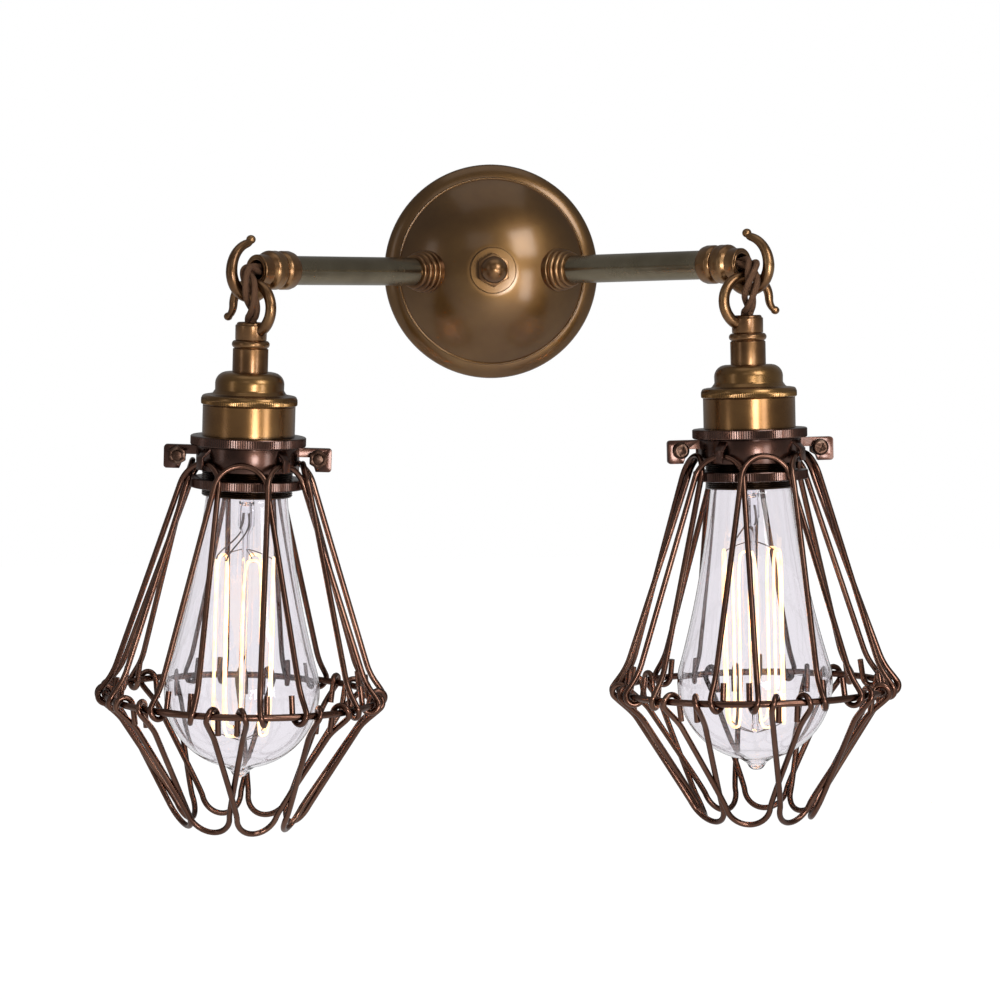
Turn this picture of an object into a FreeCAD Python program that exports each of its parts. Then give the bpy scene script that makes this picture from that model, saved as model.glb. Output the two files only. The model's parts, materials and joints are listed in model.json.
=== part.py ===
import FreeCAD, Part
import math
import os
import re

import Sketcher

# Cage wall light: a spun rose on the wall, two arms that come out and forward
# from it, and a lamp hanging by an open crook from the horn at each arm's end.
# Millimetres. The wall is the plane Y = 0, the viewer is towards -Y, +Z is up,
# and the origin is the middle of the rose on the wall.

V = FreeCAD.Vector
Turn = FreeCAD.Rotation

SIZES = {
    # rose: a spun dish with a rounded rim, a step line and a shallow dome
    "rose_radius": 46.5, "rose_wall": 1.2, "rim_straight": 1.4, "rim_height": 5.6,
    "rim_crest_radius": 42.2, "rim_bend": 4.6, "step_radius": 40.0,
    "dome_radius": 55.2, "dome_height": 22.0, "land_radius": 10.6, "seat_gap": 0.05,
    # strap on the wall, its stud and the cap nut that holds the rose
    "strap_length": 78, "strap_width": 14, "strap_thick": 2, "slot_spacing": 62,
    "slot_width": 4.6, "slot_length": 10, "stud_radius": 3.95, "thread_gap": 0.05,
    "washer_radius": 10, "washer_thick": 1.4, "cap_flats": 14, "cap_hex_height": 6.4,
    "cap_ball_radius": 6.2, "cap_bore_depth": 10,
    # terminal block on the strap
    "block_width": 15, "block_depth": 10, "block_height": 13, "block_centre": 18,
    "block_pole_radius": 2.6, "block_pole_spacing": 7, "block_screw_radius": 1.6,
    # arms: direction, flange, tube and coupler
    "arm_forward_angle": 45, "arm_reach": 29, "arm_depth": 14.5, "arm_length": 99.9,
    "flange_radius": 8.8, "flange_length": 7.6, "flange_sink": 6, "flange_neck": 7.3,
    "flange_groove": 0.6, "tube_radius": 6, "tube_bore": 4.1, "tube_tail_radius": 4.95,
    "tube_tail": 11, "arm_nut_flats": 15, "arm_nut_length": 8,
    "coupler_radius": 8.0, "coupler_length": 7.4, "coupler_back": 19.8,
    "coupler_socket": 5.4, "joint_gap": 0.05, "spigot_length": 1.9, "spigot_radius": 5.0,
    # end fitting with the horn that the lamp hangs on
    "fitting_bead": 7.4, "mouth_radius": 6.35, "mouth_bore": 4.0, "mouth_overhang": 0.0,
    "horn_bowl_radius": 9.9, "horn_bowl_middle": 3.6, "horn_bowl_drop": 0.8,
    "horn_root_angle": 150, "horn_crest_radius": 12, "horn_crest_angle": 75,
    "horn_lip_radius": 3.5, "horn_lip_angle": 45, "horn_root": 2.9, "horn_waist": 2.4,
    "horn_neck": 1.75, "horn_tip": 1.6, "horn_ball": 1.95,
    # crook on the cord grip
    "hook_gap": 0.3, "crook_rise": 10.3, "crook_lean": 67, "crook_rise_height": 7.0,
    "crook_reach": 11.3, "crook_bow": 9.6, "crook_flat": 3.7, "crook_tail_bow": 9.0,
    "crook_flare": 5.5, "crook_flare_angle": 62, "crook_root": 2.4, "crook_riser": 2.25,
    "crook_top": 2.15, "crook_tail": 1.75, "crook_end": 1.5, "crook_ball": 1.8,
    "crook_hang": -1.5, "left_tilt": 3.7, "right_tilt": 0.7, "left_twist": 0, "right_twist": 18,
    # cord grip and neck
    "grip_radius": 6.45, "grip_height": 6.3, "grip_bore": 3.1, "bead_radius": 7.5,
    "bead_height": 3.2, "neck_radius": 7.25, "neck_height": 9.7, "neck_spigot": 5.0,
    "neck_spigot_length": 3.4, "set_screw_radius": 1.5, "set_screw_height": 4.2,
    # lamp holder
    "cap_top_radius": 9.6, "cap_dome_radius": 14.0, "cap_dome_height": 9.4,
    "cap_rim_height": 4.2, "cap_rim_radius": 19.65, "cap_wall": 1.3,
    "body_radius": 18.9, "body_length": 37, "body_smooth": 12.4, "body_thread": 18.6,
    "body_bore": 17.4, "body_lip": 17.75, "body_lip_height": 2.4,
    "core_radius": 17.2, "core_top": 35.0, "core_floor": 41.0, "core_bottom": 59.5,
    "core_bore": 14.1, "core_hole": 2.2, "shell_radius": 13.9, "shell_bore": 13.25,
    "shell_top": 43.6, "shell_bottom": 60.5, "contact_width": 5, "contact_thick": 0.6,
    "contact_length": 17, "contact_drop": 1.2,
    # shade rings and clamp collar
    "ring_radius": 23.6, "ring_height": 4.0, "ring_bore": 18.68, "ring_bevel": 0.5,
    "upper_ring_depth": 45.3, "collar_depth": 49.6, "collar_height": 9.6,
    "collar_inner": 18.8, "collar_outer": 21.0, "ear_thick": 1.5, "ear_gap": 0.5,
    "ear_reach": 34.2, "ear_round": 1.3, "ear_hole": 2.15, "ear_screw_reach": 28.7,
    "ear_root": 1.4, "ear_screw_height": 5.4, "notch_foot": 27.8, "notch_reach": 25.6,
    "notch_height": 5.9, "tab_width": 3.6, "tab_thick": 0.9, "tab_reach": 24.2,
    "tab_drop": 8.9, "tab_below_rim": 0.4, "tab_root": 0.15, "tab_root_height": 1.5,
    "tab_ledge": 0.6, "tab_slope": 3.4, "lower_ring_depth": 62.5,
    "clamp_screw_radius": 1.95, "clamp_head_radius": 3.4, "clamp_head_height": 2.2,
    "clamp_screw_end": 6.0, "clamp_nut_flats": 7, "clamp_nut_height": 3.0,
    "cross_slot_width": 0.8, "cross_slot_depth": 0.8, "cross_slot_turn": 25,
    # wire cage
    "wire_radius": 1.2, "hoop_wire_radius": 1.4, "hoop_radius": 56, "hoop_depth": 152.5,
    "wires": 8, "arch_depth": 56, "arch_reach": 22.6, "arch_half_width": 11,
    "arch_half_angle": 32, "crossing_skew": 1.45, "loop_depth": 206, "loop_reach": 22,
    "loop_half_width": 9, "loop_half_angle": 30.5, "kink_height": 9, "eye_radius": 3.0,
    "eye_shift": 3.5, "eye_tail": 8.0, "eye_tail_lean": 1.2, "left_cage_turn": -4,
    "right_cage_turn": 7,
    # bulb
    "bulb_tip": 186.6, "bulb_radius": 32, "bulb_centre": 150.6, "bulb_shoulder": 70,
    "bulb_shoulder_radius": 16.6, "bulb_neck_radius": 12.3, "bulb_neck": 53,
    "bulb_collar": 58, "bulb_side_bow": 420, "bulb_throat_bow": 22, "bulb_pip_radius": 2.9,
    "bulb_pip_height": 1.6, "bulb_pip_bow": 3.2, "bulb_pip_root": 8.4,
    "bulb_pip_flare": 7.2, "glass_wall": 0.8,
    "bulb_cap_radius": 13.15, "bulb_cap_wall": 0.5, "bulb_cap_bottom": 58.4,
    "bulb_cap_shoulder": 47, "bulb_cap_top": 44.6, "bulb_button_radius": 4.6,
    "bulb_button_depth": 43.0, "stem_flare": 11.4, "stem_top": 56.5, "stem_pinch": 82,
    "stem_radius": 3.4, "rod_radius": 1.5, "rod_depth": 171, "rod_ball": 2.3,
    "filament_radius": 12.2, "filament_top": 96, "filament_bottom": 167,
    "filament_passes": 10, "filament_wire": 0.45, "spoke_wire": 0.3, "spoke_rise": 4,
    "spoke_foot_gap": 0.25, "spoke_grip_gap": 0.1,
    # flex between arm and lamp
    "flex_radius": 2.7,
}

SIDES = {"left": -1, "right": 1}
WIRE_SIDES = 8          # flats round a cage wire
FINE_WIRE_SIDES = 4     # flats round a filament strand
ARCH_STEPS = 6          # straight runs in the round top of an arch or a loop
EYE_STEPS = 4           # straight runs round an eye
HOOP_STEPS = 48         # straight runs in the hoop

# Route of the flex from the arm's mouth to the cord grip: along the arm from
# its mouth, sideways towards the viewer, and up, each in millimetres.
FLEX_ROUTE = [
    (-3.0, 0.0, 0.0), (2.6, 0.0, 0.3), (8.2, 3.2, -0.2), (10.6, 6.9, -5.6),
    (9.6, 7.6, -12.2), (6.6, 4.6, -17.2),
]
FLEX_ENTRY = 3.0        # how far the flex runs down inside the cord grip

# Height of the dome's centre over the wall, taken from the dome's upper edge.
DOME_MIDDLE = "dome_height - sqrt(dome_radius ^ 2 - land_radius ^ 2)"

doc = FreeCAD.newDocument("cage_wall_light")
sheet = doc.addObject("Spreadsheet::Sheet", "Sizes")
for row, (alias, number) in enumerate(SIZES.items(), start=1):
    sheet.set(f"A{row}", str(number))
    sheet.setAlias(f"A{row}", alias)
doc.recompute()

WORD = re.compile(r"[a-z][a-z_]+")
finished = {}


def link(text):
    """The expression with every named size pointed at its cell."""
    return WORD.sub(lambda word: "Sizes." + word.group() if word.group() in SIZES
                    else word.group(), str(text))


def worth(text):
    """What an expression of named sizes comes to."""
    return float(sheet.evalExpression(link(text)))


def bind(thing, **sizes):
    """Ties properties of an object to expressions of named sizes."""
    for name, text in sizes.items():
        thing.setExpression(name, link(text))
    return thing


def finish(node, thing, place=None):
    """Names a finished sub-part, puts it in place and keeps it for writing."""
    thing.Label = node
    if place is not None:
        thing.Placement = place
    finished[node] = thing
    return thing


def shaped(name, shape):
    """A feature that holds a shape made by Part's own functions."""
    thing = doc.addObject("Part::Feature", name)
    thing.Shape = shape
    return thing


# ---------------------------------------------------------------- sketches

def add_outline(sketch, corners):
    """A closed outline. A corner is (x, y), or (x, y, bow) where an arc of
    radius |bow| leaves it, bulging to the right of the way for bow > 0."""
    first = sketch.GeometryCount
    count = len(corners)
    points = [V(worth(corner[0]), worth(corner[1]), 0) for corner in corners]
    for k, corner in enumerate(corners):
        start = points[k]
        end = points[(k + 1) % count]
        if len(corner) == 3:
            bow = worth(corner[2])
            half = (end - start) * 0.5
            side = V(half.y, -half.x, 0).normalize()
            rise = abs(bow) - math.sqrt(bow * bow - half.Length ** 2)
            middle = start + half + side * math.copysign(rise, bow)
            sketch.addGeometry(Part.Arc(start, middle, end), False)
        else:
            sketch.addGeometry(Part.LineSegment(start, end), False)
    ends = []
    for k, corner in enumerate(corners):
        geometry = sketch.Geometry[first + k]
        turned_round = (isinstance(geometry, Part.ArcOfCircle)
                        and sketch.getPoint(first + k, 1).distanceToPoint(points[k]) > 1e-6)
        ends.append((2, 1) if turned_round else (1, 2))
    for k in range(count):
        after = (k + 1) % count
        sketch.addConstraint(Sketcher.Constraint(
            "Coincident", first + k, ends[k][1], first + after, ends[after][0]))
    for k, corner in enumerate(corners):
        for kind, axis, text in (("DistanceX", -2, corner[0]), ("DistanceY", -1, corner[1])):
            value = worth(text)
            if abs(value) < 1e-9:
                sketch.addConstraint(Sketcher.Constraint(
                    "PointOnObject", first + k, ends[k][0], axis))
                continue
            number = sketch.addConstraint(Sketcher.Constraint(
                kind, -1, 1, first + k, ends[k][0], value))
            sketch.setExpression(f"Constraints[{number}]", link(text))
        if len(corner) == 3:
            bow = worth(corner[2])
            number = sketch.addConstraint(Sketcher.Constraint("Radius", first + k, abs(bow)))
            sketch.setExpression(f"Constraints[{number}]", link(f"abs({corner[2]})"))


def round_ended(middle, half_width, half_length):
    """Corners of an upright long shape with round ends."""
    top = f"{middle} + {half_length}"
    bottom = f"{middle} - ({half_length})"
    return [(half_width, f"{bottom} + {half_width}"),
            (half_width, f"{top} - {half_width}", half_width),
            ("0", top, half_width), (f"-{half_width}", f"{top} - {half_width}"),
            (f"-{half_width}", f"{bottom} + {half_width}", half_width),
            ("0", bottom, half_width)]


def add_circle(sketch, across, up, radius):
    """A circle with its middle and radius tied to named sizes."""
    centre = V(worth(across), worth(up), 0)
    place = sketch.addGeometry(Part.Circle(centre, V(0, 0, 1), worth(radius)), False)
    for kind, axis, text in (("DistanceX", -2, across), ("DistanceY", -1, up)):
        if abs(worth(text)) < 1e-9:
            sketch.addConstraint(Sketcher.Constraint("PointOnObject", place, 3, axis))
            continue
        number = sketch.addConstraint(Sketcher.Constraint(kind, -1, 1, place, 3, worth(text)))
        sketch.setExpression(f"Constraints[{number}]", link(text))
    number = sketch.addConstraint(Sketcher.Constraint("Radius", place, worth(radius)))
    sketch.setExpression(f"Constraints[{number}]", link(radius))


def sketch_on(body, role):
    """A sketch on one of a body's own origin planes."""
    sketch = body.newObject("Sketcher::SketchObject", "Sketch")
    plane = [part for part in body.Origin.OriginFeatures if part.Role == role][0]
    sketch.AttachmentSupport = [(plane, "")]
    sketch.MapMode = "FlatFace"
    return sketch


def turned(name, corners):
    """A body turned about its Z axis from corners given as (radius, height)."""
    body = doc.addObject("PartDesign::Body", name)
    sketch = sketch_on(body, "XZ_Plane")
    add_outline(sketch, corners)
    turning = body.newObject("PartDesign::Revolution", "Revolution")
    turning.Profile = sketch
    turning.ReferenceAxis = (sketch, ["V_Axis"])
    turning.Angle = 360
    doc.recompute()
    return body


def plate(name, corners, thickness, holes=(), slots=()):
    """A flat body in its XY plane, raised along Z, with round and long holes."""
    body = doc.addObject("PartDesign::Body", name)
    sketch = sketch_on(body, "XY_Plane")
    add_outline(sketch, corners)
    for hole in holes:
        add_circle(sketch, *hole)
    for slot in slots:
        add_outline(sketch, slot)
    raised = body.newObject("PartDesign::Pad", "Pad")
    raised.Profile = sketch
    bind(raised, Length=thickness)
    doc.recompute()
    return body


def hexagon(name, flats, height, bore):
    """A hexagonal nut blank with a round bore, standing on Z = 0."""
    prism = doc.addObject("Part::Prism", name + "_blank")
    prism.Polygon = 6
    bind(prism, Circumradius=f"{flats} / sqrt(3)", Height=height)
    drill = doc.addObject("Part::Cylinder", name + "_drill")
    bind(drill, Radius=bore, Height=height)
    nut = doc.addObject("Part::Cut", name)
    nut.Base = prism
    nut.Tool = drill
    return nut


def cut(name, base, tool):
    """What is left of one object when another is taken away."""
    result = doc.addObject("Part::Cut", name)
    result.Base = base
    result.Tool = tool
    doc.recompute()
    return result


# ------------------------------------------------------------------- frames

def wall_frame():
    """Z out of the wall towards the viewer, Y up."""
    return FreeCAD.Placement(V(0, 0, 0), Turn(V(1, 0, 0), 90))


def arm_frame(side):
    """X along the arm from its seat on the rose, Z up."""
    angle = math.radians(worth("arm_forward_angle"))
    out = V(side * math.cos(angle), -math.sin(angle), 0)
    across = V(0, 0, 1).cross(out)
    seat = V(side * worth("arm_reach"), -worth("arm_depth"), 0)
    return FreeCAD.Placement(seat, Turn(out, across, V(0, 0, 1), "XYZ"))


def mouth_frame(side):
    """The arm's frame moved out to the middle of the mouth."""
    return arm_frame(side) * FreeCAD.Placement(V(worth("arm_length"), 0, 0), Turn())


def on_arm(side, distance):
    """Z along the arm, starting at a distance from its seat on the rose."""
    frame = arm_frame(side) * FreeCAD.Placement(V(distance, 0, 0), Turn())
    return frame * FreeCAD.Placement(V(0, 0, 0), Turn(V(0, 1, 0), 90))


def hang_point(side):
    """Middle of the crook's wire where it rests in the horn's bowl."""
    drop = worth("horn_bowl_drop + horn_bowl_radius - (horn_root + horn_waist) / 2"
                 " - hook_gap - crook_top")
    return mouth_frame(side).multVec(V(worth("horn_bowl_middle"), 0, -drop))


def grip_frame(name, side):
    """Origin at the top of the cord grip on the lamp's axis, Z up that axis, X
    towards the crook's riser. The lamp hangs a little out of plumb."""
    towards_viewer = arm_frame(side).Rotation.multVec(V(0, -side, 0))
    heading = math.degrees(math.atan2(towards_viewer.y, towards_viewer.x))
    heading -= side * worth(name + "_twist")
    hang = FreeCAD.Placement(hang_point(side), Turn(V(0, 0, 1), heading))
    tilt = FreeCAD.Placement(V(0, 0, 0), Turn(V(0, 1, 0), worth(name + "_tilt")))
    to_axis = V(-worth("crook_hang"), 0, -worth("crook_rise_height + crook_bow"))
    return hang * tilt * FreeCAD.Placement(to_axis, Turn())


def at_depth(frame, depth, yaw=0):
    """A lamp's frame moved down its axis and turned about it."""
    return frame * FreeCAD.Placement(V(0, 0, -depth), Turn(V(0, 0, 1), yaw))


def cage_yaw(side, frame):
    """Turn about the lamp's axis that sets the collar's ears along the wall,
    with its screw heads to the front on the right and to the back on the left."""
    ahead = frame.Rotation.multVec(V(1, 0, 0))
    heading = math.degrees(math.atan2(ahead.y, ahead.x))
    return (0 if side > 0 else 180) - heading


# -------------------------------------------------------------- bent shapes

def bent_path(start, heading, bends):
    """Edges in the XZ plane that follow each other in line. A bend is
    (radius, degrees), turning left for degrees > 0, or a plain length."""
    point = V(start[0], 0, start[1])
    edges = []
    for bend in bends:
        ahead = V(math.cos(math.radians(heading)), 0, math.sin(math.radians(heading)))
        if not isinstance(bend, tuple):
            end = point + ahead * bend
            edges.append(Part.LineSegment(point, end).toShape())
            point = end
            continue
        radius, degrees = bend
        left = V(-ahead.z, 0, ahead.x) * math.copysign(radius, degrees)
        centre = point + left

        def swung(angle):
            spin = Turn(V(0, -1, 0), angle)
            return centre + spin.multVec(point - centre)

        end = swung(degrees)
        edges.append(Part.Arc(point, swung(degrees / 2), end).toShape())
        point = end
        heading += degrees
    return edges


def round_section(point, ahead, radius):
    return Part.Wire([Part.Circle(point, ahead, radius).toShape()])


def tapered_rod(edges, radii):
    """A round rod along edges, with a radius given at each edge's ends."""
    shell = Part.BRepOffsetAPI.MakePipeShell(Part.Wire(edges))
    shell.setFrenetMode(True)
    for k, radius in enumerate(radii):
        edge = edges[min(k, len(edges) - 1)]
        at = edge.FirstParameter if k < len(edges) else edge.LastParameter
        shell.add(round_section(edge.valueAt(at), edge.tangentAt(at), radius), False, False)
    shell.build()
    shell.makeSolid()
    return shell.shape()


def faceted_wire(points, radius, sides, closed=False):
    """A wire of flat facets through points, mitred at each bend."""
    count = len(points)
    runs = count if closed else count - 1
    ways = [(points[(k + 1) % count] - points[k]).normalize() for k in range(runs)]
    across = ways[0].cross(V(0.31, 0.17, 0.93)).normalize()
    ring = [points[0] + Turn(ways[0], 360 * k / sides).multVec(across) * radius
            for k in range(sides)]
    if closed:
        ring = onto_plane(ring, ways[0], points[0], ways[-1] + ways[0])
    rings = [ring]
    for k in range(1, runs + (0 if closed else 1)):
        facing = ways[k - 1] + ways[k] if k < runs else ways[-1]
        ring = onto_plane(ring, ways[k - 1], points[k], facing)
        rings.append(ring)
    faces = []
    if closed:
        rings.append(rings[0])
    else:
        faces = [flat_face(rings[0]), flat_face(rings[-1])]
    for near, far in zip(rings, rings[1:]):
        for k in range(sides):
            after = (k + 1) % sides
            faces.append(flat_face([near[k], near[after], far[after], far[k]]))
    solid = Part.Solid(Part.Shell(faces))
    if solid.Volume < 0:
        solid.reverse()
    return solid


def onto_plane(ring, way, point, facing):
    """A ring of points carried along a way until it meets a plane."""
    return [spot + way * ((point - spot).dot(facing) / way.dot(facing)) for spot in ring]


def flat_face(corners):
    return Part.Face(Part.makePolygon(corners + corners[:1]))


def rounded_run(points, share=0.45):
    """Straight runs joined by tangent arcs, each as large as its runs allow."""
    edges = []
    radii = []
    reach = points[0]
    for before, corner, after in zip(points, points[1:], points[2:]):
        inward = (before - corner).normalize()
        outward = (after - corner).normalize()
        half_turn = (math.pi - inward.getAngle(outward)) / 2
        back = share * min((before - corner).Length, (after - corner).Length)
        radius = back / math.tan(half_turn)
        radii.append(radius)
        bisector = (inward + outward).normalize()
        centre = corner + bisector * (radius / math.cos(half_turn))
        start = corner + inward * back
        end = corner + outward * back
        middle = centre - bisector * radius
        edges.append(Part.LineSegment(reach, start).toShape())
        edges.append(Part.Arc(start, middle, end).toShape())
        reach = end
    edges.append(Part.LineSegment(reach, points[-1]).toShape())
    return edges, radii


# -------------------------------------------------------- rose and its fixing

def make_strap():
    """Steel strap screwed to the wall, with a tapped hole for the stud."""
    half = "strap_width / 2"
    end = "strap_length / 2 - strap_width / 2"
    outline = round_ended("0", half, f"{end} + {half}")
    slots = [round_ended(f"{way}slot_spacing / 2", "slot_width / 2", "slot_length / 2")
             for way in ("", "-")]
    strap = plate("strap", outline, "strap_thick",
                  holes=[("0", "0", "stud_radius + thread_gap")], slots=slots)
    finish("wall_strap", strap, wall_frame())


def make_stud_and_cap():
    """Threaded stud from the strap, and the acorn nut and washer on its end."""
    stud = turned("stud", [
        ("0", "0"), ("stud_radius", "0"),
        ("stud_radius", "dome_height + washer_thick + cap_bore_depth - 1.4"),
        ("stud_radius - 0.6", "dome_height + washer_thick + cap_bore_depth - 0.8"),
        ("0", "dome_height + washer_thick + cap_bore_depth - 0.8")])
    finish("rose_stud", stud, wall_frame())
    washer = turned("washer", [
        ("stud_radius + 0.3", "0"), ("washer_radius", "0"),
        ("washer_radius", "washer_thick - 0.5", "0.5"),
        ("washer_radius - 0.5", "washer_thick"), ("stud_radius + 0.3", "washer_thick")])
    lift = wall_frame() * FreeCAD.Placement(V(0, 0, worth("dome_height")), Turn())
    finish("cap_nut_washer", washer, lift)
    make_cap_nut(lift * FreeCAD.Placement(V(0, 0, worth("washer_thick")), Turn()))


def make_cap_nut(place):
    """Acorn nut: a hexagon under a ball, with a blind bore."""
    prism = doc.addObject("Part::Prism", "cap_hexagon")
    prism.Polygon = 6
    bind(prism, Circumradius="cap_flats / sqrt(3)", Height="cap_hex_height")
    prism.Placement = FreeCAD.Placement(V(0, 0, 0), Turn(V(0, 0, 1), 30))
    trim = turned("cap_trim", [
        ("0", "0"), ("cap_flats / 2 + 0.2", "0"), ("cap_flats / sqrt(3)", "1.0"),
        ("cap_flats / sqrt(3)", "cap_hex_height - 1.0"),
        ("cap_flats / 2", "cap_hex_height"), ("0", "cap_hex_height")])
    blank = doc.addObject("Part::Common", "cap_blank")
    blank.Base = prism
    blank.Tool = trim
    ball = turned("cap_ball", [
        ("0", "cap_hex_height - 1"), ("cap_ball_radius - 1.2", "cap_hex_height - 1"),
        ("cap_ball_radius - 1.2", "cap_hex_height", "cap_ball_radius"),
        ("0", "cap_hex_height + cap_ball_radius * 1.5")])
    joined = doc.addObject("Part::Fuse", "cap_joined")
    joined.Base = blank
    joined.Tool = ball
    bore = doc.addObject("Part::Cylinder", "cap_bore")
    bind(bore, Radius="stud_radius + thread_gap", Height="cap_bore_depth")
    finish("cap_nut", cut("cap_nut_solid", joined, bore), place)


def make_terminal_block():
    """Two-pole terminal block on the strap below the stud."""
    width = "block_width / 2"
    height = "block_height / 2"
    block = plate("block", [(f"-{width}", f"-{height}"), (width, f"-{height}"),
                            (width, height), (f"-{width}", height)], "block_depth",
                  holes=[("-block_pole_spacing / 2", "0", "block_screw_radius"),
                         ("block_pole_spacing / 2", "0", "block_screw_radius")])
    for way in (-1, 1):
        bore = doc.addObject("Part::Cylinder", "pole_bore")
        bind(bore, Radius="block_pole_radius", Height="block_height")
        bore.Placement = FreeCAD.Placement(
            V(way * worth("block_pole_spacing") / 2, -worth(height), worth("block_depth / 2")),
            Turn(V(1, 0, 0), -90))
        block = cut("block_bored", block, bore)
    place = FreeCAD.Placement(V(0, -worth("block_centre"), worth("strap_thick")), Turn())
    finish("terminal_block", block, wall_frame() * place)


def dome_ball(name, inset):
    """The ball whose surface is the dome of the rose, set in by a distance."""
    ball = doc.addObject("Part::Sphere", name)
    bind(ball, Radius=f"dome_radius - ({inset})")
    ball.Placement = FreeCAD.Placement(V(0, -dome_middle(), 0), Turn())
    return ball


def dome_middle():
    """Height of the dome's centre over the wall, taken from its upper edge."""
    return worth(DOME_MIDDLE)


def dome_level(radius, inset="0"):
    """Height of the dome's skin over the wall at a radius, as an expression."""
    return f"{DOME_MIDDLE} + sqrt((dome_radius - {inset}) ^ 2 - ({radius}) ^ 2)"


def make_rose():
    """Spun dish with holes for the stud and for both arms."""
    under_land = (f"sqrt((dome_radius - rose_wall) ^ 2"
                  f" - (dome_height - rose_wall - ({DOME_MIDDLE})) ^ 2)")
    shell = turned("rose_shell", [
        ("rose_radius - rose_wall", "0"), ("rose_radius", "0"),
        ("rose_radius", "rim_straight", "rim_bend"),
        ("rim_crest_radius", "rim_height"), ("step_radius", "rim_height"),
        ("step_radius - 0.5", dome_level("step_radius - 0.5"), "dome_radius"),
        ("land_radius", "dome_height"), ("stud_radius + 0.3", "dome_height"),
        ("stud_radius + 0.3", "dome_height - rose_wall"),
        (under_land, "dome_height - rose_wall", "-(dome_radius - rose_wall)"),
        ("step_radius - 1.0", dome_level("step_radius - 1.0", "rose_wall")),
        ("rim_crest_radius - 0.5", "rim_height - rose_wall", "-(rim_bend - rose_wall)"),
        ("rose_radius - rose_wall", "rim_straight")])
    place = wall_frame()
    shell.Placement = place
    rose = shell
    for name, side in SIDES.items():
        drill = doc.addObject("Part::Cylinder", name + "_arm_hole")
        bind(drill, Radius="tube_tail_radius + 0.25", Height="tube_tail * 2")
        drill.Placement = on_arm(side, -worth("tube_tail"))
        rose = cut(name + "_drilled", rose, drill)
    finish("rose", rose)


# --------------------------------------------------------------------- arms

def make_flange(name, side):
    """Ringed collar between rose and tube, scribed to the dome."""
    collar = turned(name + "_collar", [
        ("tube_tail_radius + joint_gap", "0"), ("flange_radius", "0"),
        ("flange_radius", "flange_sink + 2.6", "0.8"),
        ("flange_radius - 0.5", "flange_sink + 3.8"),
        ("flange_radius - flange_groove - 0.3", "flange_sink + 3.9"),
        ("flange_radius - flange_groove - 0.3", "flange_sink + 4.3"),
        ("flange_radius - 0.4", "flange_sink + 4.4", "0.9"),
        ("flange_radius - 0.8", "flange_sink + 5.8"),
        ("flange_neck - 0.3", "flange_sink + 5.9"),
        ("flange_neck", "flange_sink + 6.4", "0.8"),
        ("flange_neck - 0.6", "flange_sink + flange_length"),
        ("tube_tail_radius + joint_gap", "flange_sink + flange_length")])
    collar.Placement = on_arm(side, -worth("flange_sink"))
    scribed = cut(name + "_scribed", collar, dome_ball(name + "_dome", "-seat_gap"))
    finish(name + "_arm_flange", scribed)


def make_arm_nut(name, side):
    """Back nut inside the rose, its face shaped to the dome."""
    nut = hexagon(name + "_hexagon", "arm_nut_flats", "arm_nut_length",
                  "tube_tail_radius + joint_gap")
    nut.Placement = on_arm(side, -worth("tube_tail - 1.5"))
    shaped_nut = doc.addObject("Part::Common", name + "_nut")
    shaped_nut.Base = nut
    shaped_nut.Tool = dome_ball(name + "_under", "rose_wall + seat_gap")
    finish(name + "_arm_nut", shaped_nut)


def make_tube(name, side):
    """Arm tube, turned down and threaded where it passes through the rose."""
    shoulder = "tube_tail + flange_length"
    end = "tube_tail + arm_length - coupler_back + coupler_socket"
    tube = turned(name + "_tube", [
        ("tube_bore", "0"), ("tube_tail_radius - 0.5", "0"), ("tube_tail_radius", "0.5"),
        ("tube_tail_radius", shoulder), ("tube_radius", shoulder),
        ("tube_radius", end), ("tube_bore", end)])
    finish(name + "_arm_tube", tube, on_arm(side, -worth("tube_tail")))


def make_coupler(name, side):
    """Beaded coupler screwed on the outer end of the tube."""
    edge = "coupler_radius - 1.0"
    coupler = turned(name + "_coupler", [
        ("tube_radius + joint_gap", "0"), ("tube_radius + 0.9", "0"),
        (edge, "0.7", "1.4"), ("coupler_radius - 0.1", "2.2"),
        ("coupler_radius", "2.6"), ("coupler_radius", "coupler_length - 1.6", "2.0"),
        (edge, "coupler_length"), ("spigot_radius + joint_gap", "coupler_length"),
        ("spigot_radius + joint_gap", "coupler_socket + 0.05"),
        ("tube_radius + joint_gap", "coupler_socket + 0.05")])
    finish(name + "_arm_coupler", coupler, on_arm(side, worth("arm_length - coupler_back")))


def make_fitting(name, side):
    """End fitting: a bead and an open mouth cast in one with the horn."""
    back = "spigot_length + coupler_back - coupler_length"
    bead = "spigot_length + fitting_bead"
    barrel = turned(name + "_barrel", [
        ("0", "0"), ("spigot_radius", "0"), ("spigot_radius", "spigot_length"),
        ("coupler_radius - 1.0", "spigot_length", "2.0"),
        ("coupler_radius", "spigot_length + 1.6"), ("coupler_radius", f"{bead} - 2.4"),
        ("coupler_radius - 0.4", f"{bead} - 2.0", "2.2"),
        ("mouth_radius + 0.3", bead), ("mouth_radius", f"{bead} + 0.4"),
        ("mouth_radius", f"{back} + mouth_overhang - 0.5"),
        ("mouth_radius - 0.5", f"{back} + mouth_overhang"),
        ("0", f"{back} + mouth_overhang")])
    barrel.Placement = on_arm(side, worth(f"arm_length - ({back})"))
    horn = shaped(name + "_horn", horn_shape())
    horn.Placement = mouth_frame(side)
    joined = doc.addObject("Part::Fuse", name + "_cast")
    joined.Base = barrel
    joined.Tool = horn
    bore = doc.addObject("Part::Cylinder", name + "_mouth_bore")
    bind(bore, Radius="mouth_bore", Height=f"{back} + mouth_overhang + 1")
    bore.Placement = on_arm(side, worth(f"arm_length - ({back})"))
    finish(name + "_arm_hook", cut(name + "_fitting", joined, bore))


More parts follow.
